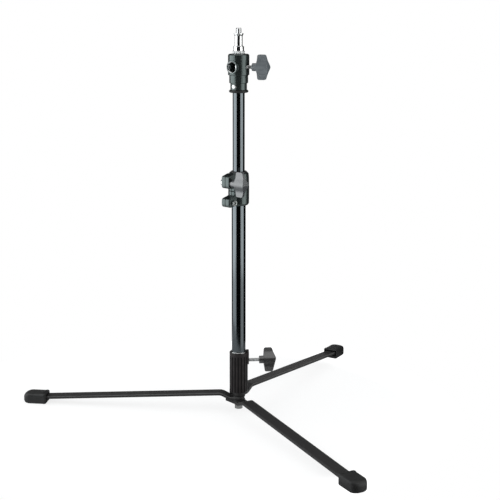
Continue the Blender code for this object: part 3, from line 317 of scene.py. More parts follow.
legLooks = {
    "tone": grey(0.030, 1.02, 0.98, 0.98),
    "lowTone": grey(0.021, 1.02, 0.98, 0.98),
    "edgeHighlightTone": grey(0.150, 1.01, 1.0, 0.99),
    "edgeWidth": 0.0013,
    "edgeFull": 0.00039,  # this far from the side, the painted edge highlight is full
    "edgeTilt": (0.15, 0.45),  # how far a face looks up before it gets the painted highlight
    "edgeHighlightShare": (0.45, 0.8),  # everywhere, and with the cloud
    "flatHeight": 0.02,  # the width of a leg is measured on its points below this height
    "shine": 0.30,
    "roughness": 0.46,
    "grain": (1300.0, 2.0, 0.12),
    "cloud": (34.0, 4.0, 0.08),
    "bump": (0.00006, 0.6),
}


def legPaint(name, footName, legName):
    # black powder coat on flat steel bar, with a painted highlight along both edges of this leg where they
    # face up
    looks = legLooks
    finish = Finish(name, Specular_IOR_Level=looks["shine"])
    cloud, roughness = finish.mottle(looks)
    footLow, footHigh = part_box(footName)
    along = ((footLow + footHigh) / 2 - columnAxis) * levelPart
    across = Vector((-along.y, along.x, 0)).normalized()
    barSpots = [vertex.co for vertex in nodes[legName].data.vertices if vertex.co.z < looks["flatHeight"]]
    half = max(abs((spot - columnAxis).dot(across)) for spot in barSpots)
    side = finish.vectors("DOT_PRODUCT", finish.fromColumn(), across, output="Value")
    away = finish.maths("ABSOLUTE", side)
    normal = finish.node("ShaderNodeTexCoord", output="Normal")
    upward = finish.coordinate(normal, "Z")
    # painted highlight: a lighter colour along both edges of the leg's upward faces
    edge = finish.between(away, half - looks["edgeWidth"], half - looks["edgeFull"])
    edge = edge * finish.between(upward, *looks["edgeTilt"])
    always, patchy = looks["edgeHighlightShare"]
    tone = finish.blendColours(cloud, looks["lowTone"], looks["tone"])
    withEdgeHighlight = finish.blendColours(edge * (always + patchy * cloud), tone, looks["edgeHighlightTone"])
    finish.set("Base Color", withEdgeHighlight)
    finish.set("Roughness", roughness)
    return finish.material


rubberLooks = {
    "tone": grey(0.014),
    "dustTone": grey(0.036),
    "dustHeight": 0.006,
    "dustMost": 0.5,
    "shine": 0.38,
    "roughness": 0.58,
    "grain": (1900.0, 3.0, 0.14),
    "cloud": (70.0, 3.0, 0.0),
    "bump": (0.00008, 0.6),
}


def footRubber():
    # moulded rubber, a little dusty low down
    looks = rubberLooks
    finish = Finish("footRubber", Specular_IOR_Level=looks["shine"])
    cloud, roughness = finish.mottle(looks)
    height = finish.coordinate(finish.place, "Z")
    dust = finish.between(height, looks["dustHeight"], 0.0, 0.0, looks["dustMost"]) * cloud
    finish.set("Base Color", finish.blendColours(dust, looks["tone"], looks["dustTone"]))
    finish.set("Roughness", roughness)
    return finish.material


plateLooks = {
    "tone": grey(0.022, 1.02, 0.98, 0.98),
    "lowTone": grey(0.014, 1.02, 0.98, 0.98),
    "shine": 0.45,
    "roughness": 0.40,
    "grain": (1200.0, 2.0, 0.10),
    "cloud": (75.0, 4.0, 0.10),
    "bump": (0.00005, 0.5),
}


def platePaint():
    # the hub plate's thin black paint, a little patchy
    finish = Finish("platePaint", Specular_IOR_Level=plateLooks["shine"])
    cloud, roughness = finish.mottle(plateLooks)
    finish.set("Base Color", finish.blendColours(cloud, plateLooks["lowTone"], plateLooks["tone"]))
    finish.set("Roughness", roughness)
    return finish.material


nylonLooks = {
    "tone": grey(0.030),
    "lowTone": grey(0.022),
    "roughness": 0.46,
    "swing": 0.1,
    "grain": 1500.0,
    "bump": (0.00003, 0.4),
}


def nylon():
    # the collar bush, the tube ends and the friction washers
    finish = Finish("blackNylon")
    grain = finish.noise(nylonLooks["grain"], 2.0)
    finish.set("Base Color", finish.blendColours(grain, nylonLooks["lowTone"], nylonLooks["tone"]))
    finish.set("Roughness", nylonLooks["roughness"] + nylonLooks["swing"] * grain)
    finish.bump(grain, *nylonLooks["bump"])
    return finish.material


metalLooks = {
    # tone and roughness of each metal
    "chromePlate": ((0.88, 0.885, 0.89, 1.0), 0.17),
    "zincPlate": ((0.50, 0.50, 0.49, 1.0), 0.30),
    "brassPad": ((0.70, 0.50, 0.20, 1.0), 0.30),
    "blackenedSteel": ((0.10, 0.10, 0.10, 1.0), 0.42),
    "bareRim": ((0.80, 0.80, 0.79, 1.0), 0.22),
    "screwPlate": ((0.84, 0.85, 0.85, 1.0), 0.38),
    # zinc painted darker for the nut and the fixing screw: painted shade
    "zincInPaintedShade": ((0.42, 0.44, 0.43, 1.0), 0.42),
    "lowShare": 0.9,
    "grain": (900.0, 2.0, 0.06),
    "cloud": (150.0, 3.0, 0.06),
    "bump": (0.00001, 0.25),
}


def brightMetal(name):
    # bare or plated metal, very slightly cloudy
    tone, roughness = metalLooks[name]
    finish = Finish(name, Metallic=1.0)
    cloud, roughness = finish.mottle({**metalLooks, "roughness": roughness})
    finish.set("Base Color", finish.blendColours(cloud, darker(tone, metalLooks["lowShare"]), tone))
    finish.set("Roughness", roughness)
    return finish.material


# finishes by the material slot of the record, then those of single nodes
finishes = {
    "black_paint": platePaint(),
    "socket_paint": socketPaint(),
    "black_anodised": anodisedTube(),
    "cast_black": castBlack("castBlack"),
    "knob_plastic": knobPlastic("knobHead"),
    "rubber": footRubber(),
    "chrome": brightMetal("chromePlate"),
    "zinc": brightMetal("zincPlate"),
    "nylon": nylon(),
    "brass": brightMetal("brassPad"),
}
ownFinishes = {
    "clamp_knob": knobPlastic("knobClamp"),
    "head_body": castBlack("castHead", bored=True),
    "clamp_washer": brightMetal("blackenedSteel"),
    "socket_knob": knobPlastic("knobSocket"),
    "front_leg": legPaint("frontLegPaint", "front_foot", "front_leg"),
    "left_leg": legPaint("leftLegPaint", "left_foot", "left_leg"),
    "right_leg": legPaint("rightLegPaint", "right_foot", "right_leg"),
}
bareRim = brightMetal("bareRim")
screwPlate = brightMetal("screwPlate")
# darker zinc as painted shade on the nut and the fixing screw
zincInPaintedShade = brightMetal("zincInPaintedShade")
for nodeName, node in nodes.items():
    for place in node.material_slots:
        slotName = place.material.name
        place.material = ownFinishes.get(nodeName, finishes[slotName])
print("finishes made:", len(finishes))


# what a row of a turned profile is: plain, cut with threads or knurls, or trimmed to a hexagon
plainRow, cutRow, hexagonRow = 0, 1, 2
mergeDistance = 0.000002


def turnedTree():
    # turns a profile (x is the radius, z the height) round Z
    tree = bpy.data.node_groups.new("turnedWork", "GeometryNodeTree")
    sheet = NodeSheet(tree)
    tree.interface.new_socket("Profile", in_out="INPUT", socket_type="NodeSocketGeometry")
    for name, kind in (
        ("Sides", "NodeSocketInt"),
        ("Rows", "NodeSocketInt"),
        ("Depth", "NodeSocketFloat"),
        ("Starts", "NodeSocketFloat"),
        ("Turns per metre", "NodeSocketFloat"),
        ("Crossed", "NodeSocketFloat"),
        ("Across flats", "NodeSocketFloat"),
        ("Material", "NodeSocketMaterial"),
    ):
        tree.interface.new_socket(name, in_out="INPUT", socket_type=kind)
    tree.interface.new_socket("Geometry", in_out="OUTPUT", socket_type="NodeSocketGeometry")
    entry = tree.nodes.new("NodeGroupInput")
    given = {socket.name: Signal(sheet, socket) for socket in entry.outputs if socket.name}
    grid = sheet.node(
        "GeometryNodeMeshGrid",
        None,
        {"Size X": 1.0, "Size Y": 1.0, "Vertices X": given["Sides"] + 1, "Vertices Y": given["Rows"]},
    )
    spot = sheet.node("GeometryNodeInputPosition")
    across = sheet.coordinate(spot, "X") + 0.5
    along = sheet.coordinate(spot, "Y") + 0.5
    row = sheet.node("FunctionNodeFloatToInt", {"rounding_mode": "ROUND"}, {0: along * (given["Rows"] - 1)})
    kindName = sheet.node("GeometryNodeInputNamedAttribute", {"data_type": "FLOAT"}, {"Name": "kind"})
    profile = given["Profile"]
    point, kind = (
        sheet.node("GeometryNodeSampleIndex", {"data_type": dataType}, {0: profile, 1: value, 2: row})
        for dataType, value in (("FLOAT_VECTOR", spot), ("FLOAT", kindName))
    )
    cut = sheet.maths("COMPARE", kind, float(cutRow), 0.1)
    hexagon = sheet.maths("COMPARE", kind, float(hexagonRow), 0.1)
    radius = sheet.coordinate(point, "X")
    height = sheet.coordinate(point, "Z")
    # threads are one slanted wave round the piece, and knurls are two that cross
    climb = height * given["Turns per metre"]
    lap = across * given["Starts"]
    first = sheet.maths("PINGPONG", lap - climb, 0.5) * 2
    second = sheet.maths("PINGPONG", lap + climb, 0.5) * 2
    wave = sheet.maths("MAXIMUM", first, second * given["Crossed"])
    angle = across * (2 * math.pi)
    fromFlat = sheet.maths("PINGPONG", angle, math.pi / 6)
    flat = given["Across flats"] / 2 / sheet.maths("COSINE", fromFlat)
    trimmed = sheet.maths("MINIMUM", radius, flat)
    reach = radius + hexagon * (trimmed - radius) - given["Depth"] * cut * wave
    sidewards, forward = (reach * sheet.maths(function, angle) for function in ("COSINE", "SINE"))
    place = sheet.node("ShaderNodeCombineXYZ", None, {0: sidewards, 1: forward, 2: height})
    shaped = sheet.node("GeometryNodeSetPosition", None, {"Geometry": grid, "Position": place})
    merge = {"Geometry": shaped, "Distance": mergeDistance}
    closed = sheet.node("GeometryNodeMergeByDistance", None, merge)
    whole = sheet.node("GeometryNodeRealizeInstances", None, {"Geometry": closed})
    paint = {"Geometry": whole, "Material": given["Material"]}
    sheet.node("NodeGroupOutput", None, {0: sheet.node("GeometryNodeSetMaterial", None, paint)})
    return tree


turnedWork = turnedTree()


def profileRows(points, step):
    # (radius, height, kind) for each row, where stretches to be cut are filled in finely
    points = [(*point, plainRow)[:3] for point in points]
    rows = [points[0]]
    for before, after in zip(points, points[1:]):
        length = math.dist(before[:2], after[:2])
        count = max(1, round(length / step)) if before[2] == cutRow and after[2] == cutRow else 1
        for part in range(1, count + 1):
            share = part / count
            radius, height = (a + (b - a) * share for a, b in zip(before[:2], after[:2]))
            rows.append((radius, height, after[2]))
    return rows


def settle(obj, name, place, smoothAngle=35):
    # the finished mesh: evaluated, placed, faces outward, at the origin
    graph = bpy.context.evaluated_depsgraph_get()
    mesh = bpy.data.meshes.new_from_object(obj.evaluated_get(graph))
    obj.modifiers.clear()
    obj.data = mesh
    mesh.name = name
    mesh.transform(place)
    bm = bmesh.new()
    bm.from_mesh(mesh)
    bmesh.ops.remove_doubles(bm, verts=bm.verts, dist=mergeDistance / 2)
    bmesh.ops.recalc_face_normals(bm, faces=bm.faces)
    if bm.calc_volume(signed=True) < 0:
        bmesh.ops.reverse_faces(bm, faces=bm.faces)
    bm.to_mesh(mesh)
    bm.free()
    mesh.shade_smooth()
    mesh.set_sharp_from_angle(angle=math.radians(smoothAngle))
    return obj


def turned(
    name, points, place, material, sides=48, depth=0.0, starts=1.0, lead=0.0, crossed=0.0, step=0.0002,
    across=0.0,
):
    # points are (radius, height), with a third value where a row isn't plain
    rows = profileRows(points, step)
    mesh = bpy.data.meshes.new(name)
    mesh.from_pydata([(radius, 0, height) for radius, height, kind in rows], [], [])
    kinds = [kind for radius, height, kind in rows]
    mesh.attributes.new("kind", "FLOAT", "POINT").data.foreach_set("value", kinds)
    obj = bpy.data.objects.new(name, mesh)
    bpy.context.scene.collection.objects.link(obj)
    modifier = obj.modifiers.new("turnedWork", "NODES")
    modifier.node_group = turnedWork
    values = {
        "Sides": sides,
        "Rows": len(rows),
        "Depth": depth,
        "Starts": starts,
        "Turns per metre": lead,
        "Crossed": crossed,
        "Across flats": across,
        "Material": material,
    }
    for item in turnedWork.interface.items_tree:
        if item.in_out == "INPUT" and item.name in values:
            modifier[item.identifier] = values[item.name]
    return settle(obj, name, place)


def threadOf(sizes, rowsPerTurn=6):
    # what turned() needs for a single thread
    pitch = sizes["pitch"]
    return {"depth": sizes["threadDepth"], "lead": 1 / pitch, "step": pitch / rowsPerTurn}


def atColumn():
    return Matrix.Translation(columnAxis)


def alongAxis(anchor, axis):
    turn = Vector(axis).normalized().to_track_quat("Z", "Y").to_matrix().to_4x4()
    return Matrix.Translation(anchor) @ turn


def alongJoint(jointName):
    # local Z along the joint's axis, from its anchor
    return alongAxis(Vector(joints[jointName]["pos_m"]), joints[jointName]["axis"])


def middleOf(nodeName):
    low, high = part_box(nodeName)
    return (low + high) / 2


def spanAlong(nodeName, place):
    # how far the node reaches along local Z of a place, and how far from that axis
    inverse = place.inverted()
    spots = [inverse @ vertex.co for vertex in nodes[nodeName].data.vertices]
    return min(p.z for p in spots), max(p.z for p in spots), max(math.hypot(p.x, p.y) for p in spots)


def acrossFlats(corner):
    # of a hexagon whose corners lie this far from its axis
    return 2 * corner * math.cos(math.pi / 6)


footSizes = {
    "shrink": 0.00006,  # keeps the rounded form just inside the solid it trims
    "lip": 0.0005,  # how far the mouth's rim stands proud
    "lipLength": 0.0045,
    "lipSlope": 0.0016,
    "endLength": 0.0140,  # the rounded far end, a superellipse of this power
    "endPower": 2.4,
    "topRound": 0.0036,
    "baseRound": 0.0026,
    "mouthRound": 0.0026,
    "endTopRound": 0.0088,
    "endBaseRound": 0.0050,
    "levels": 40,
    "cornerSteps": 3,
    "endSteps": 12,
    "smoothAngle": 40,
}


def edgeInset(height, full, top, base):
    # how far an edge rounded at the top and the base stands back at this height
    if height > full - top:
        return top - math.sqrt(max(0.0, top * top - (height - full + top) ** 2))
    if height < base:
        return base - math.sqrt(max(0.0, base * base - (base - height) ** 2))
    return 0.0


def quarterTurn(steps):
    # angles from 90 degrees down to 0
    return [math.radians(90 - 90 * step / steps) for step in range(steps + 1)]


def footOutline(height, inner, outer, half, full):
    # the foot's outline at one height: square at the mouth, round at the far end
    f = footSizes
    side = half - edgeInset(height, full, f["topRound"], f["baseRound"])
    back = inner + edgeInset(height, full, f["mouthRound"], f["mouthRound"])
    end = outer - edgeInset(height, full, f["endTopRound"], f["endBaseRound"])
    corner = f["mouthRound"]
    right = [
        (back + corner * (1 - math.sin(turn)), side - corner * (1 - math.cos(turn)))
        for turn in quarterTurn(f["cornerSteps"])
    ]
    right.append((inner + f["lipLength"], side))
    body = side - f["lip"]
    right.append((inner + f["lipLength"] + f["lipSlope"], body))
    middle = outer - f["endLength"]
    power = 2 / f["endPower"]
    for turn in quarterTurn(f["endSteps"]):
        x = middle + (end - middle) * math.cos(turn) ** power
        right.append((x, body * math.sin(turn) ** power))
    left = [(x, -y) for x, y in reversed(right[:-1])]
    return right + left


def roundedFoot(name, inner, outer, half, full):
    # a closed loft of the outlines, whose top drops behind the lip
    f = footSizes
    bm = bmesh.new()
    rows = []
    for level in range(f["levels"] + 1):
        height = full * level / f["levels"]
        row = []
        for x, y in footOutline(height, inner, outer, half, full):
            pastLip = min(1.0, max(0.0, (x - inner - f["lipLength"]) / f["lipSlope"]))
            row.append(bm.verts.new((x, y, height * (1 - f["lip"] * pastLip / full))))
        rows.append(row)
    count = len(rows[0])
    for below, above in zip(rows, rows[1:]):
        for step in range(count):
            after = (step + 1) % count
            bm.faces.new((below[step], below[after], above[after], above[step]))
    for row in (rows[0], rows[-1]):
        # strips between the two sides, and a triangle at the far end
        for step in range(count // 2):
            corners = (row[step], row[step + 1], row[count - 2 - step], row[count - 1 - step])
            if len(set(corners)) > 2:
                bm.faces.new([spot for place, spot in enumerate(corners) if spot not in corners[:place]])
    mesh = bpy.data.meshes.new(name)
    bmesh.ops.recalc_face_normals(bm, faces=bm.faces)
    bm.to_mesh(mesh)
    bm.free()
    return mesh


def makeFoot(name, nodeName, body):
    # the rubber foot: the solid's own pocket and mouth, with a rounder outside
    node = nodes[nodeName]
    away = (middleOf(nodeName) - columnAxis) * levelPart
    place = atColumn() @ Matrix.Rotation(math.atan2(away.y, away.x), 4, "Z")
    local = [place.inverted() @ vertex.co for vertex in node.data.vertices]
    gap = footSizes["shrink"]
    inner, outer = min(spot.x for spot in local) + gap, max(spot.x for spot in local) - gap
    half, full = max(spot.y for spot in local) - gap, max(spot.z for spot in local) - gap
    form = bpy.data.objects.new(name + "Form", roundedFoot(name + "Form", inner, outer, half, full))
    form.data.transform(place @ Matrix.Translation((0, 0, gap / 2)))
    foot = bpy.data.objects.new(name, node.data.copy())
    for obj in (form, foot):
        bpy.context.scene.collection.objects.link(obj)
    trim = foot.modifiers.new("rounder", "BOOLEAN")
    trim.operation = "INTERSECT"
    trim.solver = "EXACT"
    trim.use_self = True
    trim.object = form
    settle(foot, name, Matrix.Identity(4), footSizes["smoothAngle"])
    bpy.data.objects.remove(form)
    foot.data.materials.clear()
    foot.data.materials.append(finishes["rubber"])
    for face in foot.data.polygons:
        face.material_index = 0
    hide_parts(nodeName)
    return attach(foot, body)


spigotSizes = {
    "shank": 0.0159,
    "shoulder": 0.0174,
    "shoulderHeight": 0.0072,
    "neck": 0.0128,
    "neckHeight": 0.0190,
    "disc": 0.0016,
    "thread": 0.0095,
    "pitch": 0.0254 / 16,
    "threadDepth": 0.00082,
    "rowsPerTurn": 8,
    "sides": 64,
    "endChamfer": 0.001,
    "shoulderEdge": 0.0002,
    # edges and fillets, point by point: inward and down, or outward and up
    "shoulderRound": ((0, 0.0007), (0.0003, 0.0002), (0.0009, 0)),
    "neckFillet": ((0.0010, 0), (0.0003, 0.0004), (0, 0.0011)),
    "coneStart": ((0, 0.0030), (0.0002, 0.0024)),
    "discUnder": (0.0002, 0.0001),
    "discEdge": 0.0003,
    "threadStart": (0.0006, 0.0009),
    "threadEnd": (0.0010, 0.0002),
    "tipEdge": 0.0003,
}


def makeSpigot():
    s = spigotSizes
    low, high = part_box("spigot")
    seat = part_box("spigot_collar")[1].z + seatGap
    shank, shoulder, neck, thread = (s[key] / 2 for key in ("shank", "shoulder", "neck", "thread"))
    root = thread - s["threadDepth"]
    neckLow = seat + s["shoulderHeight"]
    neckHigh = neckLow + s["neckHeight"]
    discTop = neckHigh + s["disc"]
    underIn, underUp = s["discUnder"]
    points = [
        (0, low.z),
        (shank - s["endChamfer"], low.z),
        (shank, low.z + s["endChamfer"]),
        (shank, seat),
        (shoulder - s["shoulderEdge"], seat),
        (shoulder, seat + s["shoulderEdge"]),
        *((shoulder - inward, neckLow - down) for inward, down in s["shoulderRound"]),
        *((neck + outward, neckLow + up) for outward, up in s["neckFillet"]),
        *((neck + outward, neckHigh - down) for outward, down in s["coneStart"]),
        (shank - underIn, neckHigh - underUp),
        (shank, neckHigh + underUp),
        (shank, discTop - s["discEdge"]),
        (shank - s["discEdge"], discTop),
        (root, discTop),
        (root, discTop + s["threadStart"][0]),
        (thread, discTop + s["threadStart"][1], cutRow),
        (thread, high.z - s["threadEnd"][0], cutRow),
        (root, high.z - s["threadEnd"][1]),
        (root - s["tipEdge"], high.z),
        (0, high.z),
    ]
    cut = threadOf(s, s["rowsPerTurn"])
    spigot = turned("spigotBody", points, atColumn(), finishes["chrome"], s["sides"], **cut)
    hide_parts("spigot")
    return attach(spigot, "spigot")


ringSizes = {
    "teeth": 56,
    "sidesPerTooth": 4,
    "knurlDepth": 0.00045,
    "slant": 1500.0,  # teeth that a knurl line crosses in a metre of height
    "edge": 0.0006,
    "knurlStart": 0.0001,
    "boreChamfer": 0.0003,
    "rowStep": 0.00025,
}


def makeSpigotRing():
    r = ringSizes
    low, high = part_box("spigot_collar")
    outer = (high.x - low.x) / 2
    bore = spigotSizes["shank"] / 2 + seatGap
    edge, start = r["edge"], r["knurlStart"]
    points = [
        (bore, low.z),
        (outer - edge, low.z),
        (outer - start, low.z + edge),
        (outer, low.z + edge + start, cutRow),
        (outer, high.z - edge - start, cutRow),
        (outer - start, high.z - edge),
        (outer - edge, high.z),
        (bore + r["boreChamfer"], high.z),
        (bore, high.z - r["boreChamfer"]),
        (bore, low.z),
    ]
    ring = turned(
        "spigotRing", points, atColumn(), finishes["chrome"], r["teeth"] * r["sidesPerTooth"],
        r["knurlDepth"], r["teeth"], r["slant"], crossed=1.0, step=r["rowStep"],
    )
    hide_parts("spigot_collar")
    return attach(ring, "spigot_collar")


rimSizes = {"width": 0.0017, "height": 0.0010, "chamfer": 0.0003, "drop": 0.0025, "sides": 96}


def makeSocketRim():
    # bare aluminium lip round the tube, where the socket was faced off
    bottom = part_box("base_socket")[1].z - rimSizes["drop"]
    bore = (tubeHigh.x - tubeLow.x) / 2 + seatGap
    outer = bore + rimSizes["width"]
    top = bottom + rimSizes["height"]
    chamfer = rimSizes["chamfer"]
    points = [
        (bore, bottom),
        (outer, bottom),
        (outer, top - chamfer),
        (outer - chamfer, top),
        (bore + chamfer, top),
        (bore, top - chamfer),
        (bore, bottom),
    ]
    rim = turned("socketRim", points, atColumn(), bareRim, rimSizes["sides"])
    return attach(rim, "base")


boltSizes = {
    # head length, shank radius and how much shorter than the solid
    "hubBolt": (0.0053, 0.004, 0.0),
    "clampBolt": (0.004, 0.003, 0.0),
    "fixingScrew": (0.005, 0.0025, 0.002),
    "pitch": 0.00125,
    "threadDepth": 0.00045,
    "chamfer": 0.0007,
    "faceEdge": 0.0003,
    "undercut": 0.0004,
    "runIn": 0.0008,
    "tip": 0.0010,
}


def makeBolt(name, nodeName, place, body, material):
    # a hexagon head at the low end and a threaded shank
    b = boltSizes
    headLength, shank, endShort = b[name]
    low, high, corner = spanAlong(nodeName, place)
    across = acrossFlats(corner)
    core = shank - b["threadDepth"]
    seat = low + headLength
    end = high - endShort
    points = [
        (0, low),
        (across / 2 - b["faceEdge"], low),
        (across / 2, low, hexagonRow),
        (corner, low + b["chamfer"], hexagonRow),
        (corner, seat, hexagonRow),
        (core, seat),
        (core, seat + b["undercut"]),
        (shank, seat + b["runIn"], cutRow),
        (shank, end - b["tip"], cutRow),
        (core, end),
        (0, end),
    ]
    bolt = turned(name, points, place, material, across=across, **threadOf(b))
    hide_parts(nodeName)
    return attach(bolt, body)


nutSizes = {
    "bore": 0.0028,
    "threadDepth": 0.0003,
    "pitch": 0.0008,
    "chamfer": 0.0007,
    "mouth": 0.0005,
    "mouthDepth": 0.0004,
}


def makeNut(place):
    n = nutSizes
    low, high, corner = spanAlong("hex_nut", place)
    across = acrossFlats(corner)
    bore, chamfer = n["bore"], n["chamfer"]
    mouth = bore + n["mouth"]
    points = [
        (mouth, low),
        (across / 2, low, hexagonRow),
        (corner, low + chamfer, hexagonRow),
        (corner, high - chamfer, hexagonRow),
        (across / 2, high, hexagonRow),
        (mouth, high),
        (bore, high - n["mouthDepth"], cutRow),
        (bore, low + n["mouthDepth"], cutRow),
        (mouth, low),
    ]
    nut = turned("hexNut", points, place, zincInPaintedShade, across=across, **threadOf(n))
    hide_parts("hex_nut")
    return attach(nut, "column")


capSizes = {
    "dome": 0.0014,
    "shank": 0.0019,
    "underEdge": (0.0001, 0.0002),
    "domeShares": ((0.93, 0.52), (0.78, 0.80)),  # of the cap's radius and of the dome's height
    "recess": 0.0016,
    "recessDepth": 0.0009,
    "recessEdge": (0.0003, 0.0002),
    "lobes": 6.0,
    "lobeDepth": 0.00045,
    "sides": 72,
}


def makeHeadScrew(name, nodeName):
    # domed cap with a six-lobed recess
    c = capSizes
    middle = middleOf(nodeName)
    axis = (middle - columnAxis) * levelPart
    place = alongAxis(Vector((columnAxis.x, columnAxis.y, middle.z)), axis)
    low, high, cap = spanAlong(nodeName, place)
    dome, shank, recess = c["dome"], c["shank"], c["recess"]
    seat = high - dome
    floor = high - c["recessDepth"]
    edgeIn, edgeUp = c["underEdge"]
    recessOut, recessDown = c["recessEdge"]
    points = [
        (0, low),
        (shank, low),
        (shank, seat),
        (cap - edgeIn, seat),
        (cap, seat + edgeUp),
        *((cap * wide, seat + dome * tall) for wide, tall in c["domeShares"]),
        (recess + recessOut, high),
        (recess, high - recessDown, cutRow),
        (recess, floor, cutRow),
        (0, floor),
    ]
    screw = turned(name, points, place, screwPlate, c["sides"], c["lobeDepth"], c["lobes"])
    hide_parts(nodeName)
    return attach(screw, "riser")


screwSizes = {"pitch": 0.001, "threadDepth": 0.00058, "tip": 0.0007, "sides": 28}


def makeScrew(name, nodeName, jointName, body):
    # the threaded rod of a wing knob
    place = alongJoint(jointName)
    low, high, radius = spanAlong(nodeName, place)
    core = radius - screwSizes["threadDepth"]
    tip = screwSizes["tip"]
    points = [
        (0, low),
        (core, low),
        (radius, low + tip, cutRow),
        (radius, high - tip, cutRow),
        (core, high),
        (0, high),
    ]
    screw = turned(name, points, place, screwPlate, screwSizes["sides"], **threadOf(screwSizes))
    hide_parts(nodeName)
    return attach(screw, body)


makeFoot("frontFoot", "front_foot", "base")
makeFoot("leftFoot", "left_foot", "left_leg")
makeFoot("rightFoot", "right_foot", "right_leg")
print("rubber feet made")
makeSpigot()
makeSpigotRing()
makeSocketRim()
makeBolt("hubBolt", "hub_bolt", atColumn(), "base", finishes["zinc"])
makeBolt("clampBolt", "clamp_bolt", alongJoint("clamp_knob_turn"), "column", finishes["zinc"])
lowerClamp = alongAxis(middleOf("hex_nut"), joints["clamp_knob_turn"]["axis"])
makeBolt("fixingScrew", "fixing_screw", lowerClamp, "column", zincInPaintedShade)
makeNut(lowerClamp)
makeHeadScrew("headScrewLeft", "head_screw_left")
makeHeadScrew("headScrewRight", "head_screw_right")
makeScrew("socketScrew", "socket_screw", "socket_knob_turn", "socket_knob")
makeScrew("headScrew", "head_screw", "head_knob_turn", "head_knob")
print("turned pieces made")


white = (1, 1, 1, 1)
studio = {
    "skyColour": (0.42, 0.43, 0.44, 1.0),
    # the rest is what glossy surfaces see, by the backward and upward parts of a direction
    "behind": 0.95,
    "front": 0.006,
    "wallSide": (0.90, 0.99),
    "overhead": 0.05,
    "wallTop": (0.22, 0.04),
    "ceiling": 0.90,
    "ceilingEdge": (0.62, 0.92),
}


def makeWorld():
    # white to the camera, a soft grey light, and a wall and a ceiling in reflections
    world = bpy.data.worlds.new("studioWorld")
    bpy.context.scene.world = world
    world.use_nodes = True
    sheet = NodeSheet(world.node_tree)
    direction = sheet.node("ShaderNodeTexCoord", output="Generated")
    backward = sheet.coordinate(direction, "Y")
    upward = sheet.coordinate(direction, "Z")
    camera, glossy, through = (
        sheet.node("ShaderNodeLightPath", output=f"Is {ray} Ray")
        for ray in ("Camera", "Glossy", "Transmission")
    )
    wall = sheet.between(backward, *studio["wallSide"], studio["front"], studio["behind"])
    wall = wall * sheet.between(upward, *studio["wallTop"], studio["overhead"], 1.0)
    backdrop = wall + sheet.between(upward, *studio["ceilingEdge"], 0.0, studio["ceiling"])
    reflected = sheet.node("ShaderNodeCombineColor", None, {0: backdrop, 1: backdrop, 2: backdrop})
    dim = sheet.blendColours(glossy, studio["skyColour"], reflected)
    colour = sheet.blendColours(sheet.maths("MAXIMUM", camera, through), dim, white)
    light = sheet.node("ShaderNodeBackground", None, {"Color": colour, "Strength": 1.0})
    sheet.node("ShaderNodeOutputWorld", None, {"Surface": light})


tableLooks = {
    "long": 0.47,
    "deep": 0.40,
    "height": -0.0002,
    "sides": 96,
    "tone": grey(0.62),
    "glow": 1.335,
    "glowShare": 0.60,
    "fade": (0.80, 0.98),
}


def makeTable():
    # a pale oval table top that fades into the white surroundings
    t = tableLooks
    mesh = bpy.data.meshes.new("table")
    turns = [2 * math.pi * step / t["sides"] for step in range(t["sides"])]
    corners = [(t["long"] * math.cos(turn), t["deep"] * math.sin(turn), t["height"]) for turn in turns]
    mesh.from_pydata(corners, [], [range(t["sides"])])
    table = bpy.data.objects.new("table", mesh)
    bpy.context.scene.collection.objects.link(table)
    material = bpy.data.materials.new("palePaper")
    material.use_nodes = True
    sheet = NodeSheet(material.node_tree)
    place = sheet.node("ShaderNodeTexCoord", output="Object")
    scaled = sheet.vectors("DIVIDE", place, (t["long"], t["deep"], 1))
    reach = sheet.vectors("LENGTH", scaled, output="Value")
    camera = sheet.node("ShaderNodeLightPath", output="Is Camera Ray")
    paper = sheet.node("ShaderNodeBsdfDiffuse", None, {"Color": t["tone"]})
    glow = sheet.node("ShaderNodeEmission", None, {"Color": white, "Strength": t["glow"]})
    share = camera * sheet.between(reach, *t["fade"], t["glowShare"], 1.0)
    mixed = sheet.node("ShaderNodeMixShader", None, {0: share, 1: paper, 2: glow})
    sheet.node("ShaderNodeOutputMaterial", None, {"Surface": mixed})
    mesh.materials.append(material)


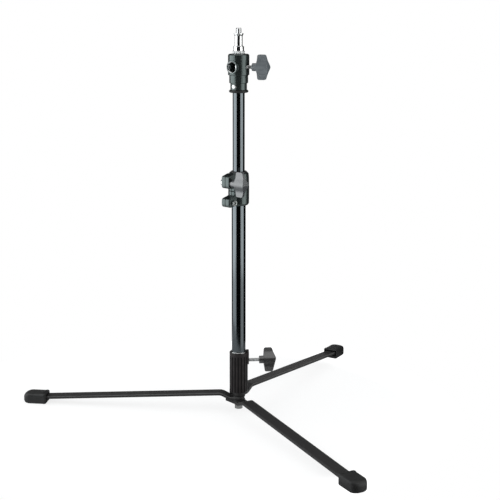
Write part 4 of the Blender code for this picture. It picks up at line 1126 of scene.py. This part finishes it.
coolTint, neutralTint = (0.96, 0.99, 1.0), (0.98, 1.0, 0.985)
lampDistance = 1.15
lamps = {
    # angle round the column, height of the middle, width, height, radiance and tint
    "leftSoftbox": (-170.4, 0.63, 1.62, 1.36, 2.6, coolTint),
    "leftLow": (-170.4, -0.26, 1.62, 0.42, 1.5, coolTint),
    "rightSoftbox": (-24.4, 0.63, 1.04, 1.36, 2.2, neutralTint),
    "rightLow": (-24.4, -0.26, 1.04, 0.42, 1.0, neutralTint),
}


def makeLamps():
    # a tall softbox on each side, with a dimmer one below it
    for name, (angle, middle, width, tall, radiance, tint) in lamps.items():
        lamp = bpy.data.lights.new(name, "AREA")
        lamp.shape = "RECTANGLE"
        lamp.size = width
        lamp.size_y = tall
        lamp.color = tint
        lamp.energy = radiance * math.pi * width * tall
        obj = bpy.data.objects.new(name, lamp)
        bpy.context.scene.collection.objects.link(obj)
        turn = math.radians(angle)
        outward = Vector((math.cos(turn) * lampDistance, math.sin(turn) * lampDistance, middle))
        obj.location = columnAxis + outward
        target = columnAxis + Vector((0, 0, middle))
        obj.rotation_euler = (target - obj.location).to_track_quat("-Z", "Y").to_euler()
        obj.visible_camera = False


cameraSizes = {
    "distance": 1.9,
    "angle": -87.9,
    "height": 0.713,
    "pitch": 9.7,
    "lens": 83.7,
    "sensor": 36.0,
    "shiftX": 0.0226,
    "shiftY": -0.126,
}


def makeCamera():
    # at the photograph's viewing angle, aimed at the column
    c = cameraSizes
    camera = bpy.data.objects.new("camera", bpy.data.cameras.new("camera"))
    bpy.context.scene.collection.objects.link(camera)
    turn = math.radians(c["angle"])
    outward = Vector((math.cos(turn), math.sin(turn), 0))
    camera.location = columnAxis + outward * c["distance"] + Vector((0, 0, c["height"]))
    pitch = math.radians(c["pitch"])
    look = -outward * math.cos(pitch) - Vector((0, 0, math.sin(pitch)))
    camera.rotation_euler = look.to_track_quat("-Z", "Y").to_euler()
    camera.data.lens = c["lens"]
    camera.data.sensor_width = c["sensor"]
    camera.data.sensor_fit = "HORIZONTAL"
    camera.data.shift_x = c["shiftX"]
    camera.data.shift_y = c["shiftY"]
    bpy.context.scene.camera = camera


makeWorld()
makeTable()
makeLamps()
makeCamera()
bpy.context.scene.view_settings.view_transform = "Standard"
print("studio ready")
